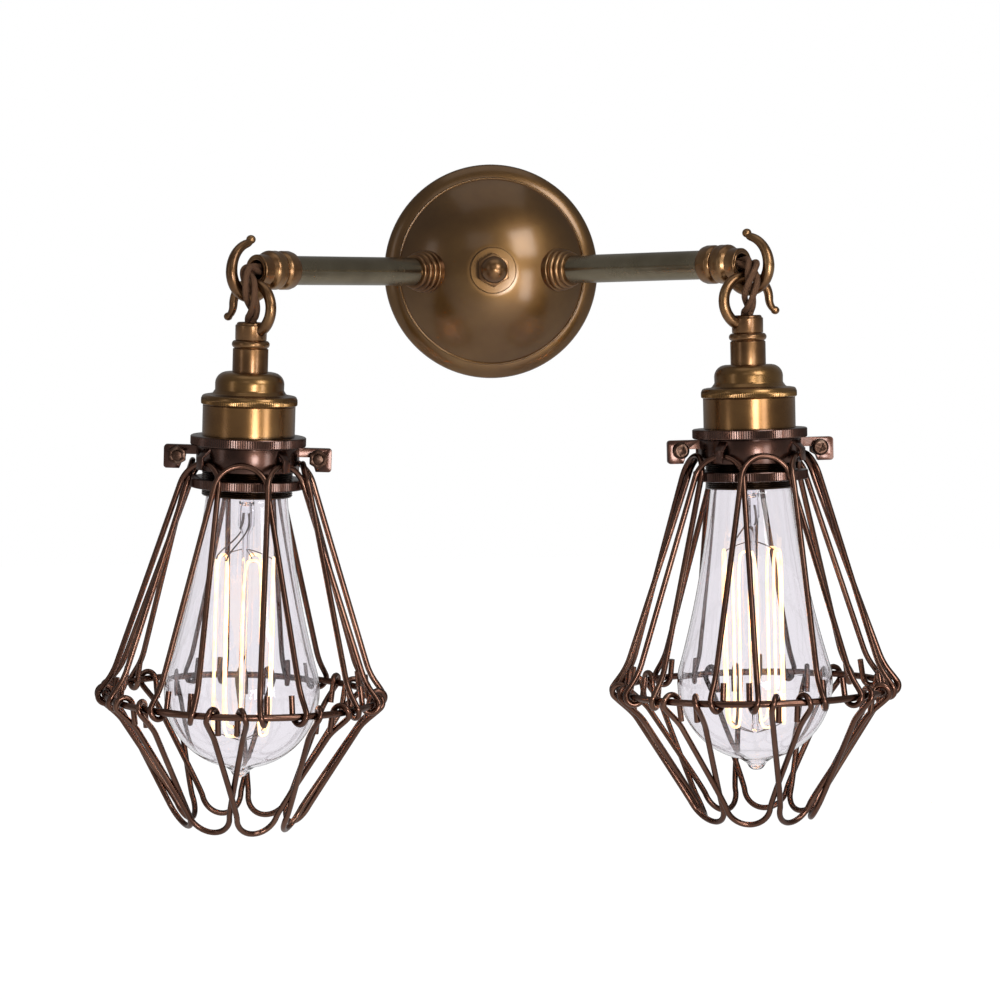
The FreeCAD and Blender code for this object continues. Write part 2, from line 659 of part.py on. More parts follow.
def horn_shape():
    """Horn below and beyond the mouth: a bowl, a crest and a lip with a ball."""
    start = worth("horn_root_angle")
    radius = worth("horn_bowl_radius")
    middle = (worth("horn_bowl_middle"), -worth("horn_bowl_drop"))
    angle = math.radians(-start)
    root = (middle[0] + radius * math.cos(angle), middle[1] + radius * math.sin(angle))
    edges = bent_path(root, 90 - start, [
        (radius, start - 90), (radius, 90),
        (worth("horn_crest_radius"), worth("horn_crest_angle")),
        (worth("horn_lip_radius"), -worth("horn_lip_angle"))])
    mean = worth("(horn_root + horn_waist) / 2")
    rod = tapered_rod(edges, [worth("horn_root"), mean, worth("horn_waist"),
                              worth("horn_neck"), worth("horn_tip")])
    tip = Part.makeSphere(worth("horn_ball"), edges[-1].Vertexes[-1].Point)
    return rod.fuse(tip)


# -------------------------------------------------------------------- lamps

def make_crook(name, frame):
    """Cord grip cast in one with the open crook that the lamp hangs by."""
    grip = turned(name + "_grip", [
        ("0", "0"), ("grip_radius", "0"), ("grip_radius", "grip_height - 0.5", "0.5"),
        ("grip_radius - 0.5", "grip_height"), ("0", "grip_height")])
    grip.Placement = at_depth(frame, worth("grip_height"))
    crook = shaped(name + "_crook_rod", crook_shape())
    crook.Placement = frame
    joined = doc.addObject("Part::Fuse", name + "_crook_cast")
    joined.Base = grip
    joined.Tool = crook
    bore = doc.addObject("Part::Cylinder", name + "_grip_bore")
    bind(bore, Radius="grip_bore", Height="grip_height + 2")
    bore.Placement = at_depth(frame, worth("grip_height + 1"))
    finish(name + "_crook", cut(name + "_crook_bored", joined, bore))


def crook_shape():
    """Open crook: out of the grip's rim, over the top and down to a flared tail."""
    lean = worth("crook_lean")
    rise = worth("crook_rise")
    angle = math.radians(-lean)
    reach = worth("crook_reach")
    start = (reach - rise + rise * math.cos(angle),
             worth("crook_rise_height") + rise * math.sin(angle))
    edges = bent_path(start, 90 - lean, [
        (rise, lean), (worth("crook_bow"), 90), worth("crook_flat"),
        (worth("crook_tail_bow"), 90),
        (worth("crook_flare"), -worth("crook_flare_angle"))])
    radii = [worth(size) for size in (
        "crook_root", "crook_riser", "crook_top", "crook_top", "crook_tail", "crook_end")]
    rod = tapered_rod(edges, radii)
    tip = Part.makeSphere(worth("crook_ball"), edges[-1].Vertexes[-1].Point)
    return rod.fuse(tip)


def make_neck(name, frame):
    """Beaded neck between cord grip and holder, with its set screw."""
    height = "neck_spigot_length + neck_height + bead_height"
    neck = turned(name + "_neck", [
        ("grip_bore", "0"), ("neck_spigot", "0"), ("neck_spigot", "neck_spigot_length"),
        ("neck_radius", "neck_spigot_length"),
        ("neck_radius", "neck_spigot_length + neck_height - 0.3"),
        ("neck_radius - 0.5", "neck_spigot_length + neck_height"),
        ("bead_radius - 0.5", "neck_spigot_length + neck_height + 0.1", "bead_height / 2"),
        ("bead_radius - 0.6", f"{height} - 0.1"),
        ("grip_radius", height), ("grip_bore", height)])
    place = at_depth(frame, worth("grip_height + bead_height + neck_height"
                                  " + neck_spigot_length"))
    neck.Placement = place
    hole = doc.addObject("Part::Cylinder", name + "_set_hole")
    bind(hole, Radius="set_screw_radius + thread_gap", Height="neck_radius + 1")
    side = 1 if name == "right" else -1
    spin = Turn(V(0, 0, 1), 40 * side) * Turn(V(1, 0, 0), 90)
    spot = V(0, 0, worth("neck_spigot_length + set_screw_height"))
    hole.Placement = place * FreeCAD.Placement(spot, spin)
    finish(name + "_neck", cut(name + "_neck_drilled", neck, hole))
    screw = turned(name + "_set_screw", [
        ("0", "grip_bore + 0.2"), ("set_screw_radius", "grip_bore + 0.2"),
        ("set_screw_radius", "neck_radius - 1.2"),
        ("set_screw_radius - 0.3", "neck_radius - 0.9"),
        ("0.6", "neck_radius - 0.9"), ("0.4", "neck_radius - 1.7"),
        ("0", "neck_radius - 1.7")])
    finish(name + "_grip_screw", screw, place * FreeCAD.Placement(spot, spin))


def make_holder_cap(name, frame):
    """Spun cap: a shouldered dome flaring to a knurled rim."""
    cap = turned(name + "_cap", [
        ("body_lip + joint_gap", "0"), ("cap_rim_radius - 0.5", "0"),
        ("cap_rim_radius", "0.6", "2.4"), ("cap_rim_radius - 0.3", "3.2"),
        ("cap_rim_radius - 1.8", "cap_rim_height"),
        ("cap_rim_radius - 3.4", "cap_rim_height + 0.15", "-3.0"),
        ("cap_dome_radius", "cap_rim_height + 2.6"),
        ("cap_dome_radius + 0.1", "cap_rim_height + 4.8", "5.0"),
        ("cap_top_radius", "cap_rim_height + cap_dome_height"),
        ("neck_spigot + joint_gap", "cap_rim_height + cap_dome_height"),
        ("neck_spigot + joint_gap", "cap_rim_height + cap_dome_height - cap_wall"),
        ("cap_top_radius - 0.6", "cap_rim_height + cap_dome_height - cap_wall", "-3.8"),
        ("cap_dome_radius - cap_wall", "cap_rim_height + 4.6"),
        ("cap_dome_radius - cap_wall", "body_lip_height + 0.6"),
        ("body_lip + joint_gap", "body_lip_height + 0.3")])
    finish(name + "_holder_cap", cap, at_depth(frame, cap_bottom()))


def cap_bottom():
    """Depth of the holder cap's lower edge below the top of the cord grip."""
    return worth("grip_height + bead_height + neck_height + cap_dome_height"
                 " + cap_rim_height")


def make_holder_body(name, frame):
    """Holder body: smooth above, threaded below for the shade rings."""
    smooth = "body_length - body_smooth"
    body = turned(name + "_body", [
        ("body_bore", "0"), ("body_thread - 0.4", "0"), ("body_thread", "0.4"),
        ("body_thread", smooth), ("body_radius", smooth),
        ("body_radius", "body_length - 0.3"), ("body_radius - 0.3", "body_length"),
        ("body_lip", "body_length"), ("body_lip", "body_length + body_lip_height"),
        ("body_bore - 1.4", "body_length + body_lip_height"),
        ("body_bore - 1.4", "body_length + body_lip_height - 1"),
        ("body_bore", "body_length + body_lip_height - 1")])
    finish(name + "_holder_body", body, at_depth(frame, cap_bottom() + worth("body_length")))


def make_holder_inside(name, frame):
    """Insulating core, screw shell and centre contact inside the holder."""
    core = turned(name + "_core", [
        ("core_hole", "core_bottom - core_floor"), ("core_bore", "core_bottom - core_floor"),
        ("core_bore", "0"), ("core_radius - 0.4", "0"), ("core_radius", "0.4"),
        ("core_radius", "core_bottom - core_top - 0.6"),
        ("core_radius - 0.6", "core_bottom - core_top"),
        ("core_hole", "core_bottom - core_top")])
    finish(name + "_holder_core", core, at_depth(frame, worth("core_bottom")))
    shell = turned(name + "_shell", [
        ("shell_bore", "0"), ("shell_radius", "0"),
        ("shell_radius", "shell_bottom - shell_top"),
        ("shell_bore", "shell_bottom - shell_top")])
    finish(name + "_screw_shell", shell, at_depth(frame, worth("shell_bottom")))
    base = "contact_length / 2"
    strip = doc.addObject("Part::Extrusion", name + "_strip")
    outline = doc.addObject("Sketcher::SketchObject", name + "_strip_line")
    add_outline(outline, [
        (f"-({base})", "0"), (f"-({base}) + 5", "0"),
        ("-3", "-contact_drop"), ("2.2", "-contact_drop"), ("4.6", "0"), (base, "0"),
        (base, "contact_thick"), ("4.2", "contact_thick"),
        ("1.9", "contact_thick - contact_drop"), ("-2.8", "contact_thick - contact_drop"),
        (f"-({base}) + 5.2", "contact_thick"), (f"-({base})", "contact_thick")])
    strip.Base = outline
    strip.Solid = True
    strip.DirMode = "Normal"
    strip.Symmetric = True
    bind(strip, LengthFwd="contact_width")
    doc.recompute()
    upright = FreeCAD.Placement(V(0, 0, -worth("contact_thick")), Turn(V(1, 0, 0), 90))
    finish(name + "_centre_contact", strip, at_depth(frame, worth("core_floor")) * upright)


def make_shade_rings(name, frame):
    """Two shade rings, one above the collar and one below it."""
    for label, depth in (("upper", "upper_ring_depth"), ("lower", "lower_ring_depth")):
        ring = turned(f"{name}_{label}", [
            ("ring_bore", "0"), ("ring_radius - ring_bevel", "0"),
            ("ring_radius", "ring_bevel"), ("ring_radius", "ring_height - ring_bevel"),
            ("ring_radius - ring_bevel", "ring_height"), ("ring_bore", "ring_height")])
        finish(f"{name}_{label}_ring", ring,
               at_depth(frame, worth(f"{depth} + ring_height")))


def half_collar(label, turn_of_tabs):
    """Front half of the clamp collar, standing on Z = 0: half a band, an ear at
    each end and two tabs that hold arches of the cage."""
    band = doc.addObject("Part::Feature", label + "_band")
    outer = worth("collar_outer")
    inner = worth("collar_inner")
    height = worth("collar_height")
    gap = worth("ear_gap")
    thick = worth("ear_thick")
    ring = Part.makeCylinder(outer, height).cut(Part.makeCylinder(inner, height))
    front = Part.makeBox(4 * outer, 2 * outer, height, V(-2 * outer, -2 * outer - gap, 0))
    solid = ring.common(front)
    for way in (-1, 1):
        solid = solid.fuse(collar_ear(way, height, gap, thick))
    for tab in (-1, 1):
        solid = solid.fuse(collar_tab(45 * tab + turn_of_tabs))
    band.Shape = solid.removeSplitter()
    return band


def collar_ear(way, height, gap, thick):
    """Flat ear with rounded outer corners, a screw hole and a notch that lets
    the cage's wire pass close under it."""
    reach = worth("ear_reach")
    start = worth("collar_outer - ear_root")
    ear = Part.makeBox(reach - start, thick, height, V(start, -gap - thick, 0))
    corners = [edge for edge in ear.Edges
               if abs(edge.BoundBox.XMin - reach) < 1e-6 and edge.BoundBox.YLength > thick / 2]
    ear = ear.makeFillet(worth("ear_round"), corners)
    hole = Part.makeCylinder(worth("ear_hole"), 4 * thick,
                             V(worth("ear_screw_reach"), gap, worth("ear_screw_height")),
                             V(0, -1, 0))
    near = worth("collar_outer")
    top = worth("notch_height")
    notch = flat_face([V(x, gap, z) for x, z in (
        (near, -1), (worth("notch_foot"), -1), (worth("notch_foot"), 0),
        (worth("notch_reach"), top), (near, top))]).extrude(V(0, -4 * thick, 0))
    ear = ear.cut(hole).cut(notch)
    return ear if way > 0 else ear.mirror(V(0, 0, 0), V(1, 0, 0))


def collar_tab(azimuth):
    """Tab bent down over the top of an arch."""
    top = worth("collar_height - tab_below_rim")
    root = worth("collar_height - tab_below_rim - tab_root_height")
    turn = worth("collar_height - tab_below_rim - tab_slope")
    near = worth("collar_outer - tab_root")
    ledge = worth("tab_ledge")
    thick = worth("tab_thick")
    far = worth("tab_reach") + thick
    low = worth("collar_height - tab_drop")
    line = [(near, top), (near + ledge, top), (far, turn), (far, low),
            (far - thick, low), (far - thick, turn - thick * 0.45),
            (near + ledge / 2, root), (near, root)]
    points = [V(x, 0, z) for x, z in line]
    width = worth("tab_width")
    tab = flat_face(points).extrude(V(0, width, 0))
    tab.translate(V(0, -width / 2, 0))
    tab.rotate(V(0, 0, 0), V(0, 0, 1), azimuth - 90)
    return tab


def make_collar(name, frame, yaw):
    """Both halves of the clamp collar with their screws and nuts."""
    place = at_depth(frame, worth("collar_depth + collar_height"), yaw)
    facing = FreeCAD.Placement(V(0, 0, 0), Turn(V(0, 0, 1), 180))
    turn_of_tabs = worth(name + "_cage_turn")
    front = half_collar(name + "_front", turn_of_tabs)
    finish(name + "_collar_screw_half", front, place)
    back = half_collar(name + "_back", turn_of_tabs)
    finish(name + "_collar_nut_half", back, place * facing)
    finish(name + "_clamp_screws", shaped(name + "_screws", clamp_screws()), place)
    finish(name + "_clamp_nuts", shaped(name + "_nuts", clamp_nuts()), place)


def clamp_screws():
    """Pan-head cross-slot screws through the ears, heads to the front."""
    face = worth("ear_gap + ear_thick")
    radius = worth("clamp_head_radius")
    height = worth("clamp_head_height")
    wide = worth("cross_slot_width")
    deep = worth("cross_slot_depth")
    screws = []
    for way in (-1, 1):
        at = V(way * worth("ear_screw_reach"), -face, worth("ear_screw_height"))
        head = Part.makeCylinder(radius, height, at, V(0, -1, 0))
        rim = [edge for edge in head.Edges
               if edge.BoundBox.YLength < 1e-6 and abs(edge.BoundBox.YMin + face + height) < 1e-6]
        head = head.makeFillet(height * 0.55, rim)
        for spin in (0, 90):
            slot = Part.makeBox(radius * 1.2, 2 * deep, wide, V(-radius * 0.6, -deep, -wide / 2))
            slot.rotate(V(0, 0, 0), V(0, 1, 0), worth("cross_slot_turn") + spin)
            slot.translate(at + V(0, -height, 0))
            head = head.cut(slot)
        shank = Part.makeCylinder(worth("clamp_screw_radius"), face + worth("clamp_screw_end"),
                                  at, V(0, 1, 0))
        screws.append(head.fuse(shank).removeSplitter())
    return Part.makeCompound(screws)


def clamp_nuts():
    """Hexagon nuts behind the rear ears."""
    face = worth("ear_gap + ear_thick")
    across = worth("clamp_nut_flats / sqrt(3)")
    nuts = []
    for way in (-1, 1):
        at = V(way * worth("ear_screw_reach"), face, worth("ear_screw_height"))
        corners = [V(across * math.cos(math.radians(60 * k + 30)), 0,
                     across * math.sin(math.radians(60 * k + 30))) for k in range(6)]
        nut = flat_face(corners).extrude(V(0, worth("clamp_nut_height"), 0))
        nut.translate(at)
        bore = Part.makeCylinder(worth("clamp_screw_radius + thread_gap"), 10, at, V(0, 1, 0))
        nuts.append(nut.cut(bore))
    return Part.makeCompound(nuts)


# --------------------------------------------------------------------- cage

def out_at(azimuth):
    """Level direction away from the lamp's axis, 0 towards the cage's front."""
    angle = math.radians(azimuth)
    return V(math.sin(angle), -math.cos(angle), 0)


def bow_line(azimuth, half_angle, depth, reach, half_width, rise):
    """Centre line of one wire of the cage. It runs from a tail, through an eye
    round the hoop and along a leg to a round bow, and the same way back."""
    outward = out_at(azimuth)
    across = out_at(azimuth + 90)
    hoop = worth("hoop_radius")
    end_reach = hoop * math.cos(math.radians(half_angle))
    slope = (end_reach - reach) / abs(worth("hoop_depth") - depth)
    skew = worth("crossing_skew")
    bow = []
    for k in range(ARCH_STEPS + 1):
        angle = math.pi * (1 - k / ARCH_STEPS)
        sideways = half_width * math.cos(angle)
        below = half_width * (1 - math.sin(angle))
        away = reach + below * slope - skew * math.cos(angle)
        bow.append(outward * away + across * sideways + V(0, 0, -depth - rise * below))
    first = eye_line(azimuth - half_angle, 1, bow[0], rise)
    last = eye_line(azimuth + half_angle, -1, bow[-1], rise)
    return first + bow + last[::-1]


def eye_line(azimuth, shift_way, shoulder, rise):
    """Tail and eye at a wire's end, and the kink where its leg leaves the cone.
    The eye turns round the hoop until it points straight at the kink."""
    level = -worth("hoop_depth")
    outward = out_at(azimuth)
    upward = V(0, 0, rise)
    across = out_at(azimuth + 90) * shift_way
    centre = outward * worth("hoop_radius") + V(0, 0, level)
    kink = centre + (shoulder - centre) * (worth("kink_height") / abs(shoulder.z - level))
    away = kink - centre
    reach = math.hypot(away.dot(outward), away.z)
    leave = (math.atan2(abs(away.z), away.dot(outward))
             - math.acos(worth("eye_radius") / reach))
    step = (math.pi + leave) / EYE_STEPS
    eye = worth("eye_radius") / math.cos(step / 2)
    points = []
    for k in range(EYE_STEPS + 1):
        angle = k * step - math.pi
        points.append(centre + outward * (eye * math.cos(angle))
                      + upward * (eye * math.sin(angle))
                      + across * (worth("eye_shift") * (1 - k / EYE_STEPS)))
    tail = points[0] + upward * worth("eye_tail") - outward * worth("eye_tail_lean")
    return [tail] + points + [kink]


def make_cage(name, frame, yaw):
    """Eight arches from the collar to the hoop, the hoop, and eight loops below."""
    place = at_depth(frame, 0, yaw)
    turn = worth(name + "_cage_turn")
    count = int(worth("wires"))
    pitch = 360 / count
    radius = worth("wire_radius")
    arches = []
    loops = []
    for k in range(count):
        arch = bow_line(turn + k * pitch, worth("arch_half_angle"), worth("arch_depth"),
                        worth("arch_reach"), worth("arch_half_width"), 1)
        arches.append(faceted_wire(arch, radius, WIRE_SIDES))
        loop = bow_line(turn + (k + 0.5) * pitch, worth("loop_half_angle"),
                        worth("loop_depth"), worth("loop_reach"), worth("loop_half_width"), -1)
        loops.append(faceted_wire(loop, radius, WIRE_SIDES))
    finish(name + "_cage_arches", shaped(name + "_arches", Part.makeCompound(arches)), place)
    finish(name + "_cage_loops", shaped(name + "_loops", Part.makeCompound(loops)), place)
    hoop = [out_at(360 * k / HOOP_STEPS) * worth("hoop_radius") for k in range(HOOP_STEPS)]
    ring = faceted_wire(hoop, worth("hoop_wire_radius"), WIRE_SIDES, closed=True)
    finish(name + "_cage_hoop", shaped(name + "_hoop", ring),
           at_depth(frame, worth("hoop_depth"), yaw))


# --------------------------------------------------------------------- bulb

def make_bulb(name, frame):
    """Long-filament bulb: glass, screw cap, inner stem and filament."""
    wall = "glass_wall"
    drop = {size: f"bulb_tip - {size}" for size in (
        "bulb_neck", "bulb_collar", "bulb_shoulder", "bulb_centre")}
    root = "bulb_pip_root"
    root_rise = f"{drop['bulb_centre']} - sqrt(bulb_radius ^ 2 - {root} ^ 2)"
    inner_root = f"bulb_pip_root - {wall}"
    inner_rise = (f"{drop['bulb_centre']}"
                  f" - sqrt((bulb_radius - {wall}) ^ 2 - ({inner_root}) ^ 2)")
    glass = turned(name + "_glass", [
        ("0", "0"), ("bulb_pip_radius * 0.5", "0.15", "bulb_pip_bow"),
        ("bulb_pip_radius", "bulb_pip_height", "-bulb_pip_flare"),
        (root, root_rise, "bulb_radius"),
        ("bulb_radius", drop["bulb_centre"], "bulb_radius"),
        ("bulb_radius - 0.6", f"{drop['bulb_centre']} + 6.2", "-bulb_side_bow"),
        ("bulb_shoulder_radius", drop["bulb_shoulder"], "-bulb_throat_bow"),
        ("bulb_neck_radius", drop["bulb_collar"]), ("bulb_neck_radius", drop["bulb_neck"]),
        (f"bulb_neck_radius - {wall}", drop["bulb_neck"]),
        (f"bulb_neck_radius - {wall}", drop["bulb_collar"], f"bulb_throat_bow + {wall}"),
        (f"bulb_shoulder_radius - {wall}", drop["bulb_shoulder"], f"bulb_side_bow + {wall}"),
        (f"bulb_radius - 0.6 - {wall}", f"{drop['bulb_centre']} + 6.2",
         f"-(bulb_radius - {wall})"),
        (f"bulb_radius - {wall}", drop["bulb_centre"], f"-(bulb_radius - {wall})"),
        (inner_root, inner_rise, f"bulb_pip_flare + {wall}"),
        (f"bulb_pip_radius - {wall}", f"bulb_pip_height + {wall}"),
        ("0", f"bulb_pip_height + {wall}")])
    finish(name + "_bulb_glass", glass, at_depth(frame, worth("bulb_tip")))
    cap = turned(name + "_bulb_cap", [
        ("bulb_cap_radius - bulb_cap_wall", "0"), ("bulb_cap_radius", "0"),
        ("bulb_cap_radius", "bulb_cap_bottom - bulb_cap_shoulder"),
        ("bulb_button_radius + 1.4", "bulb_cap_bottom - bulb_cap_top"),
        ("bulb_button_radius", "bulb_cap_bottom - bulb_cap_top"),
        ("bulb_button_radius - 0.6", "bulb_cap_bottom - bulb_button_depth"),
        ("0", "bulb_cap_bottom - bulb_button_depth"),
        ("0", "bulb_cap_bottom - bulb_cap_top - 1"),
        ("bulb_button_radius", "bulb_cap_bottom - bulb_cap_top - 1"),
        ("bulb_cap_radius - bulb_cap_wall", "bulb_cap_bottom - bulb_cap_shoulder - 0.6")])
    finish(name + "_bulb_cap", cap, at_depth(frame, worth("bulb_cap_bottom")))
    stem = turned(name + "_stem", [
        ("0", "0"), ("rod_ball * 0.7", "0.6", "rod_ball"), ("rod_radius", "3.6"),
        ("rod_radius", "rod_depth - stem_pinch - 4"),
        ("stem_radius", "rod_depth - stem_pinch"),
        ("stem_radius", "rod_depth - stem_pinch + 6", "-20"),
        ("stem_flare", "rod_depth - stem_top"),
        ("stem_flare - 1.2", "rod_depth - stem_top"),
        ("stem_radius - 1", "rod_depth - stem_pinch + 8"),
        ("0", "rod_depth - stem_pinch + 8")])
    finish(name + "_bulb_stem", stem, at_depth(frame, worth("rod_depth")))
    strands = shaped(name + "_strands", filament_shape())
    finish(name + "_filament", strands, at_depth(frame, 0))


def filament_shape():
    """Zigzag filament round the rod, and the spokes that stretch it."""
    passes = int(worth("filament_passes"))
    radius = worth("filament_radius")
    top = -worth("filament_top")
    bottom = -worth("filament_bottom")
    line = []
    spokes = []
    for k in range(passes):
        azimuth = 360 * k / passes
        near = out_at(azimuth) * radius
        far = out_at(azimuth + 360 / passes) * radius
        high, low = (top, bottom) if k % 2 == 0 else (bottom, top)
        line.append(near + V(0, 0, high))
        line.append(near + V(0, 0, low))
        middle = (near + far) * 0.5
        grip = middle + V(0, 0, low)
        hub_radius = worth("rod_radius + spoke_foot_gap")
        outward = V(middle.x, middle.y, 0).normalize()
        inner_rise = worth("spoke_rise") * (1 if low == top else -1)
        foot = outward * hub_radius + V(0, 0, low + inner_rise)
        start = grip - outward * worth("filament_wire + spoke_wire + spoke_grip_gap")
        if k < passes - 1:
            spokes.append(faceted_wire([foot, start], worth("spoke_wire"), FINE_WIRE_SIDES))
    strand = faceted_wire(line, worth("filament_wire"), FINE_WIRE_SIDES)
    return Part.makeCompound([strand] + spokes)


# --------------------------------------------------------------------- flex

def make_flex(name, side, frame):
    """Twisted flex from the mouth of the arm into the cord grip."""
    mouth = mouth_frame(side)
    points = [mouth.multVec(V(out, -side * ahead, up)) for out, ahead, up in FLEX_ROUTE]
    points.append(frame.multVec(V(0, 0, FLEX_ENTRY * 0.9)))
    points.append(frame.multVec(V(0, 0, -FLEX_ENTRY)))
    edges, radii = rounded_run(points)
    path = Part.Wire(edges)
    start = round_section(points[0], points[1] - points[0], worth("flex_radius"))
    tube = path.makePipeShell([start], True, False)
    print(name, "flex length %.1f" % path.Length, "bends",
          " ".join("%.1f" % radius for radius in radii),
          "volume ratio %.4f" % (tube.Volume / (math.pi * worth("flex_radius") ** 2 * path.Length)))
    finish(name + "_flex", shaped(name + "_flex_tube", tube))


# -------------------------------------------------------------------- build

def build():
    make_strap()
    make_stud_and_cap()
    make_terminal_block()
    make_rose()
    for name, side in SIDES.items():
        make_flange(name, side)
        make_arm_nut(name, side)
        make_tube(name, side)
        make_coupler(name, side)
        make_fitting(name, side)
        frame = grip_frame(name, side)
        yaw = cage_yaw(side, frame)
        make_crook(name, frame)
        make_neck(name, frame)
        make_holder_cap(name, frame)
        make_holder_body(name, frame)
        make_holder_inside(name, frame)
        make_shade_rings(name, frame)
        make_collar(name, frame, yaw)
        make_cage(name, frame, yaw)
        make_bulb(name, frame)
        make_flex(name, side, frame)
    doc.recompute()


def check():
    """Stops if any object failed or any sub-part's shape isn't sound."""
    for thing in doc.Objects:
        if "Invalid" in thing.State or "Error" in thing.State:
            owner = thing.getParentGeoFeatureGroup()
            raise RuntimeError(f"{thing.Name} of {owner.Name if owner else doc.Name} failed")
    for node, thing in finished.items():
        shape = thing.Shape
        if shape.isNull() or not shape.isValid() or not shape.Solids or shape.Volume <= 0:
            raise RuntimeError(f"{node} has no sound shape")


def write():
    os.makedirs("parts", exist_ok=True)
    for node, thing in finished.items():
        thing.Shape.exportStep(f"parts/{node}.step")
    print(len(finished), "sub-parts written")


build()
check()
write()
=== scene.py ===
import json
import math

import bmesh
import bpy
from mathutils import Matrix, Vector

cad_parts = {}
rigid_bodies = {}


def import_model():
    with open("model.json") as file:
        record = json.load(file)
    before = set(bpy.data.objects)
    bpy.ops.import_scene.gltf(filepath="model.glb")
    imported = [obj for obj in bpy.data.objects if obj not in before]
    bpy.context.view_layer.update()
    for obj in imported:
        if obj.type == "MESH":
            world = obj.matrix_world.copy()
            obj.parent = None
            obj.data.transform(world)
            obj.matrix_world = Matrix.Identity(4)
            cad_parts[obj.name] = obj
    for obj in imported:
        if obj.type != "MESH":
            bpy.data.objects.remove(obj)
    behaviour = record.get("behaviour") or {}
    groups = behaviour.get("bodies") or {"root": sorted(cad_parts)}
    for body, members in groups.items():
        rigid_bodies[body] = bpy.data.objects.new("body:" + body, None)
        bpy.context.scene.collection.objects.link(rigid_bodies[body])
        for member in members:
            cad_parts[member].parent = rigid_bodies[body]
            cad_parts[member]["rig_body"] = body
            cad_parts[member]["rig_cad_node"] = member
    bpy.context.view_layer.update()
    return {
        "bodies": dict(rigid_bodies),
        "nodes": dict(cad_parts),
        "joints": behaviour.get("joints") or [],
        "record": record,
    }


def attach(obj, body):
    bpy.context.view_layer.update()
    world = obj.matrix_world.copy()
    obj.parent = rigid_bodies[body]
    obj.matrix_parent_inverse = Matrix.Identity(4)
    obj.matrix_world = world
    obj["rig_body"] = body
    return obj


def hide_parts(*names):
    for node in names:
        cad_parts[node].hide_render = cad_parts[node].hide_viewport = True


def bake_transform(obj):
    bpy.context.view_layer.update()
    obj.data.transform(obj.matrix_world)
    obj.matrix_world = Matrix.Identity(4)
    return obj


# Cage wall light: a bronzed rose, two brass arms with horned ends, and on each
# horn a lampholder with a clamp collar, a bent-wire cage and a long bulb.
# Sizes are in millimetres and MM turns them into metres where a mesh is made.
# Angles are in degrees. Materials, lamps and the floor are sized in metres.

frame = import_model()
JOINTS = {joint["name"]: joint for joint in frame["joints"]}
SLOT_OF = {part["node"]: part["material_slot"] for part in frame["record"]["subparts"]}

MM = 0.001
SIDES = {"left": -1, "right": 1}
WALL_PART = "wall_part"

# Arms
ARM_ANGLE = 45                      # between an arm and the wall
ARM_SEAT = (29, -14.5)              # X and Y of an arm's seat on the dome
ARM_LENGTH = 99.9                   # from the seat to the mouth
ARM_HOLE = 5.2                      # radius of its hole in the rose
TUBE_BACK = 14.4                    # how far behind the mouth the tube ends

# Lamp: depths are measured down its axis from the top of the cord grip
CROOK_HANG = (1.5, 0, -16.6)        # from the hanging point to the grip's top
CAP_FOOT = 32.8                     # lower edge of the holder's cap
BODY_FOOT = 69.8                    # lower edge of the holder's body
RING_TOPS = {"upper": 45.3, "lower": 62.5}
RING_HEIGHT = 4.0

# Cage
HOOP_DEPTH = 152.5
HOOP_RADIUS = 56.0
HOOP_STEPS = 48
WIRE = 1.2                          # radius of the wire of arches and loops
HOOP_WIRE = 1.4
CAGE_WIRES = 8                      # arches, and as many loops
CAGE_TURN = {"left": -4, "right": 7}
BOW_STEPS = 8
EYE_STEPS = 7
EYE = 3.0                           # radius at which a wire goes round the hoop
EYE_SHIFT = 3.5                     # how far an eye runs along the hoop
KINK = 9.0                          # from the hoop's level to the kink in a leg
TAIL = 8.0
TAIL_LEAN = 1.2
WELD_AT = 150                       # where the hoop's ends are welded together
WELD_REACH = 5
WELD_SWELL = 1.14

# Bulb
BULB = 32.0                         # radius of the ball
BULB_MIDDLE = 150.6                 # depth of the ball's middle
BULB_TIP = 186.6
BULB_NECK = 12.3
PIP_ROOT = 10.4                     # radius where the blown tip leaves the ball
GLASS_WALL = 0.8


# ---- frames

def placing(origin, x_axis, z_axis):
    """A matrix with its origin at a point in millimetres and these two axes."""
    z = Vector(z_axis).normalized()
    x = (Vector(x_axis) - z * Vector(x_axis).dot(z)).normalized()
    y = z.cross(x)
    turn = Matrix((x, y, z)).transposed().to_4x4()
    return Matrix.Translation(Vector(origin)) @ turn


def arm_way(side):
    """The direction in which an arm leaves the rose."""
    angle = math.radians(ARM_ANGLE)
    return Vector((side * math.cos(angle), -math.sin(angle), 0))


def arm_seat(side):
    """The point where an arm's line meets the rose."""
    return Vector((side * ARM_SEAT[0], ARM_SEAT[1], 0))


def on_arm(side, distance):
    """Z out along the arm from a distance past its seat on the rose, X up."""
    return placing(arm_seat(side) + arm_way(side) * distance, (0, 0, 1), arm_way(side))


def arm_frame(side):
    """X along the arm from its seat on the rose, Z up."""
    return placing(arm_seat(side), arm_way(side), (0, 0, 1))


def arm_point(side, out, ahead, up):
    """A point given from the mouth: along the arm, towards the viewer, up."""
    across = Vector((0, 0, 1)).cross(arm_way(side))
    return (arm_seat(side) + arm_way(side) * (ARM_LENGTH + out) - across * side * ahead
            + Vector((0, 0, up)))


def grip_place(name, side):
    """Origin at the top of the cord grip on the lamp's axis, Z up that axis and
    X towards the crook's riser, read from the lamp's own joints."""
    axis = Vector(JOINTS[name + "_bulb_turn"]["axis"])
    riser = Vector(JOINTS[name + "_lamp_swing"]["axis"]) * side
    hang = Vector(JOINTS[name + "_lamp_swing"]["pos_m"]) / MM
    place = placing(hang, riser, axis)
    return place @ Matrix.Translation(Vector(CROOK_HANG))


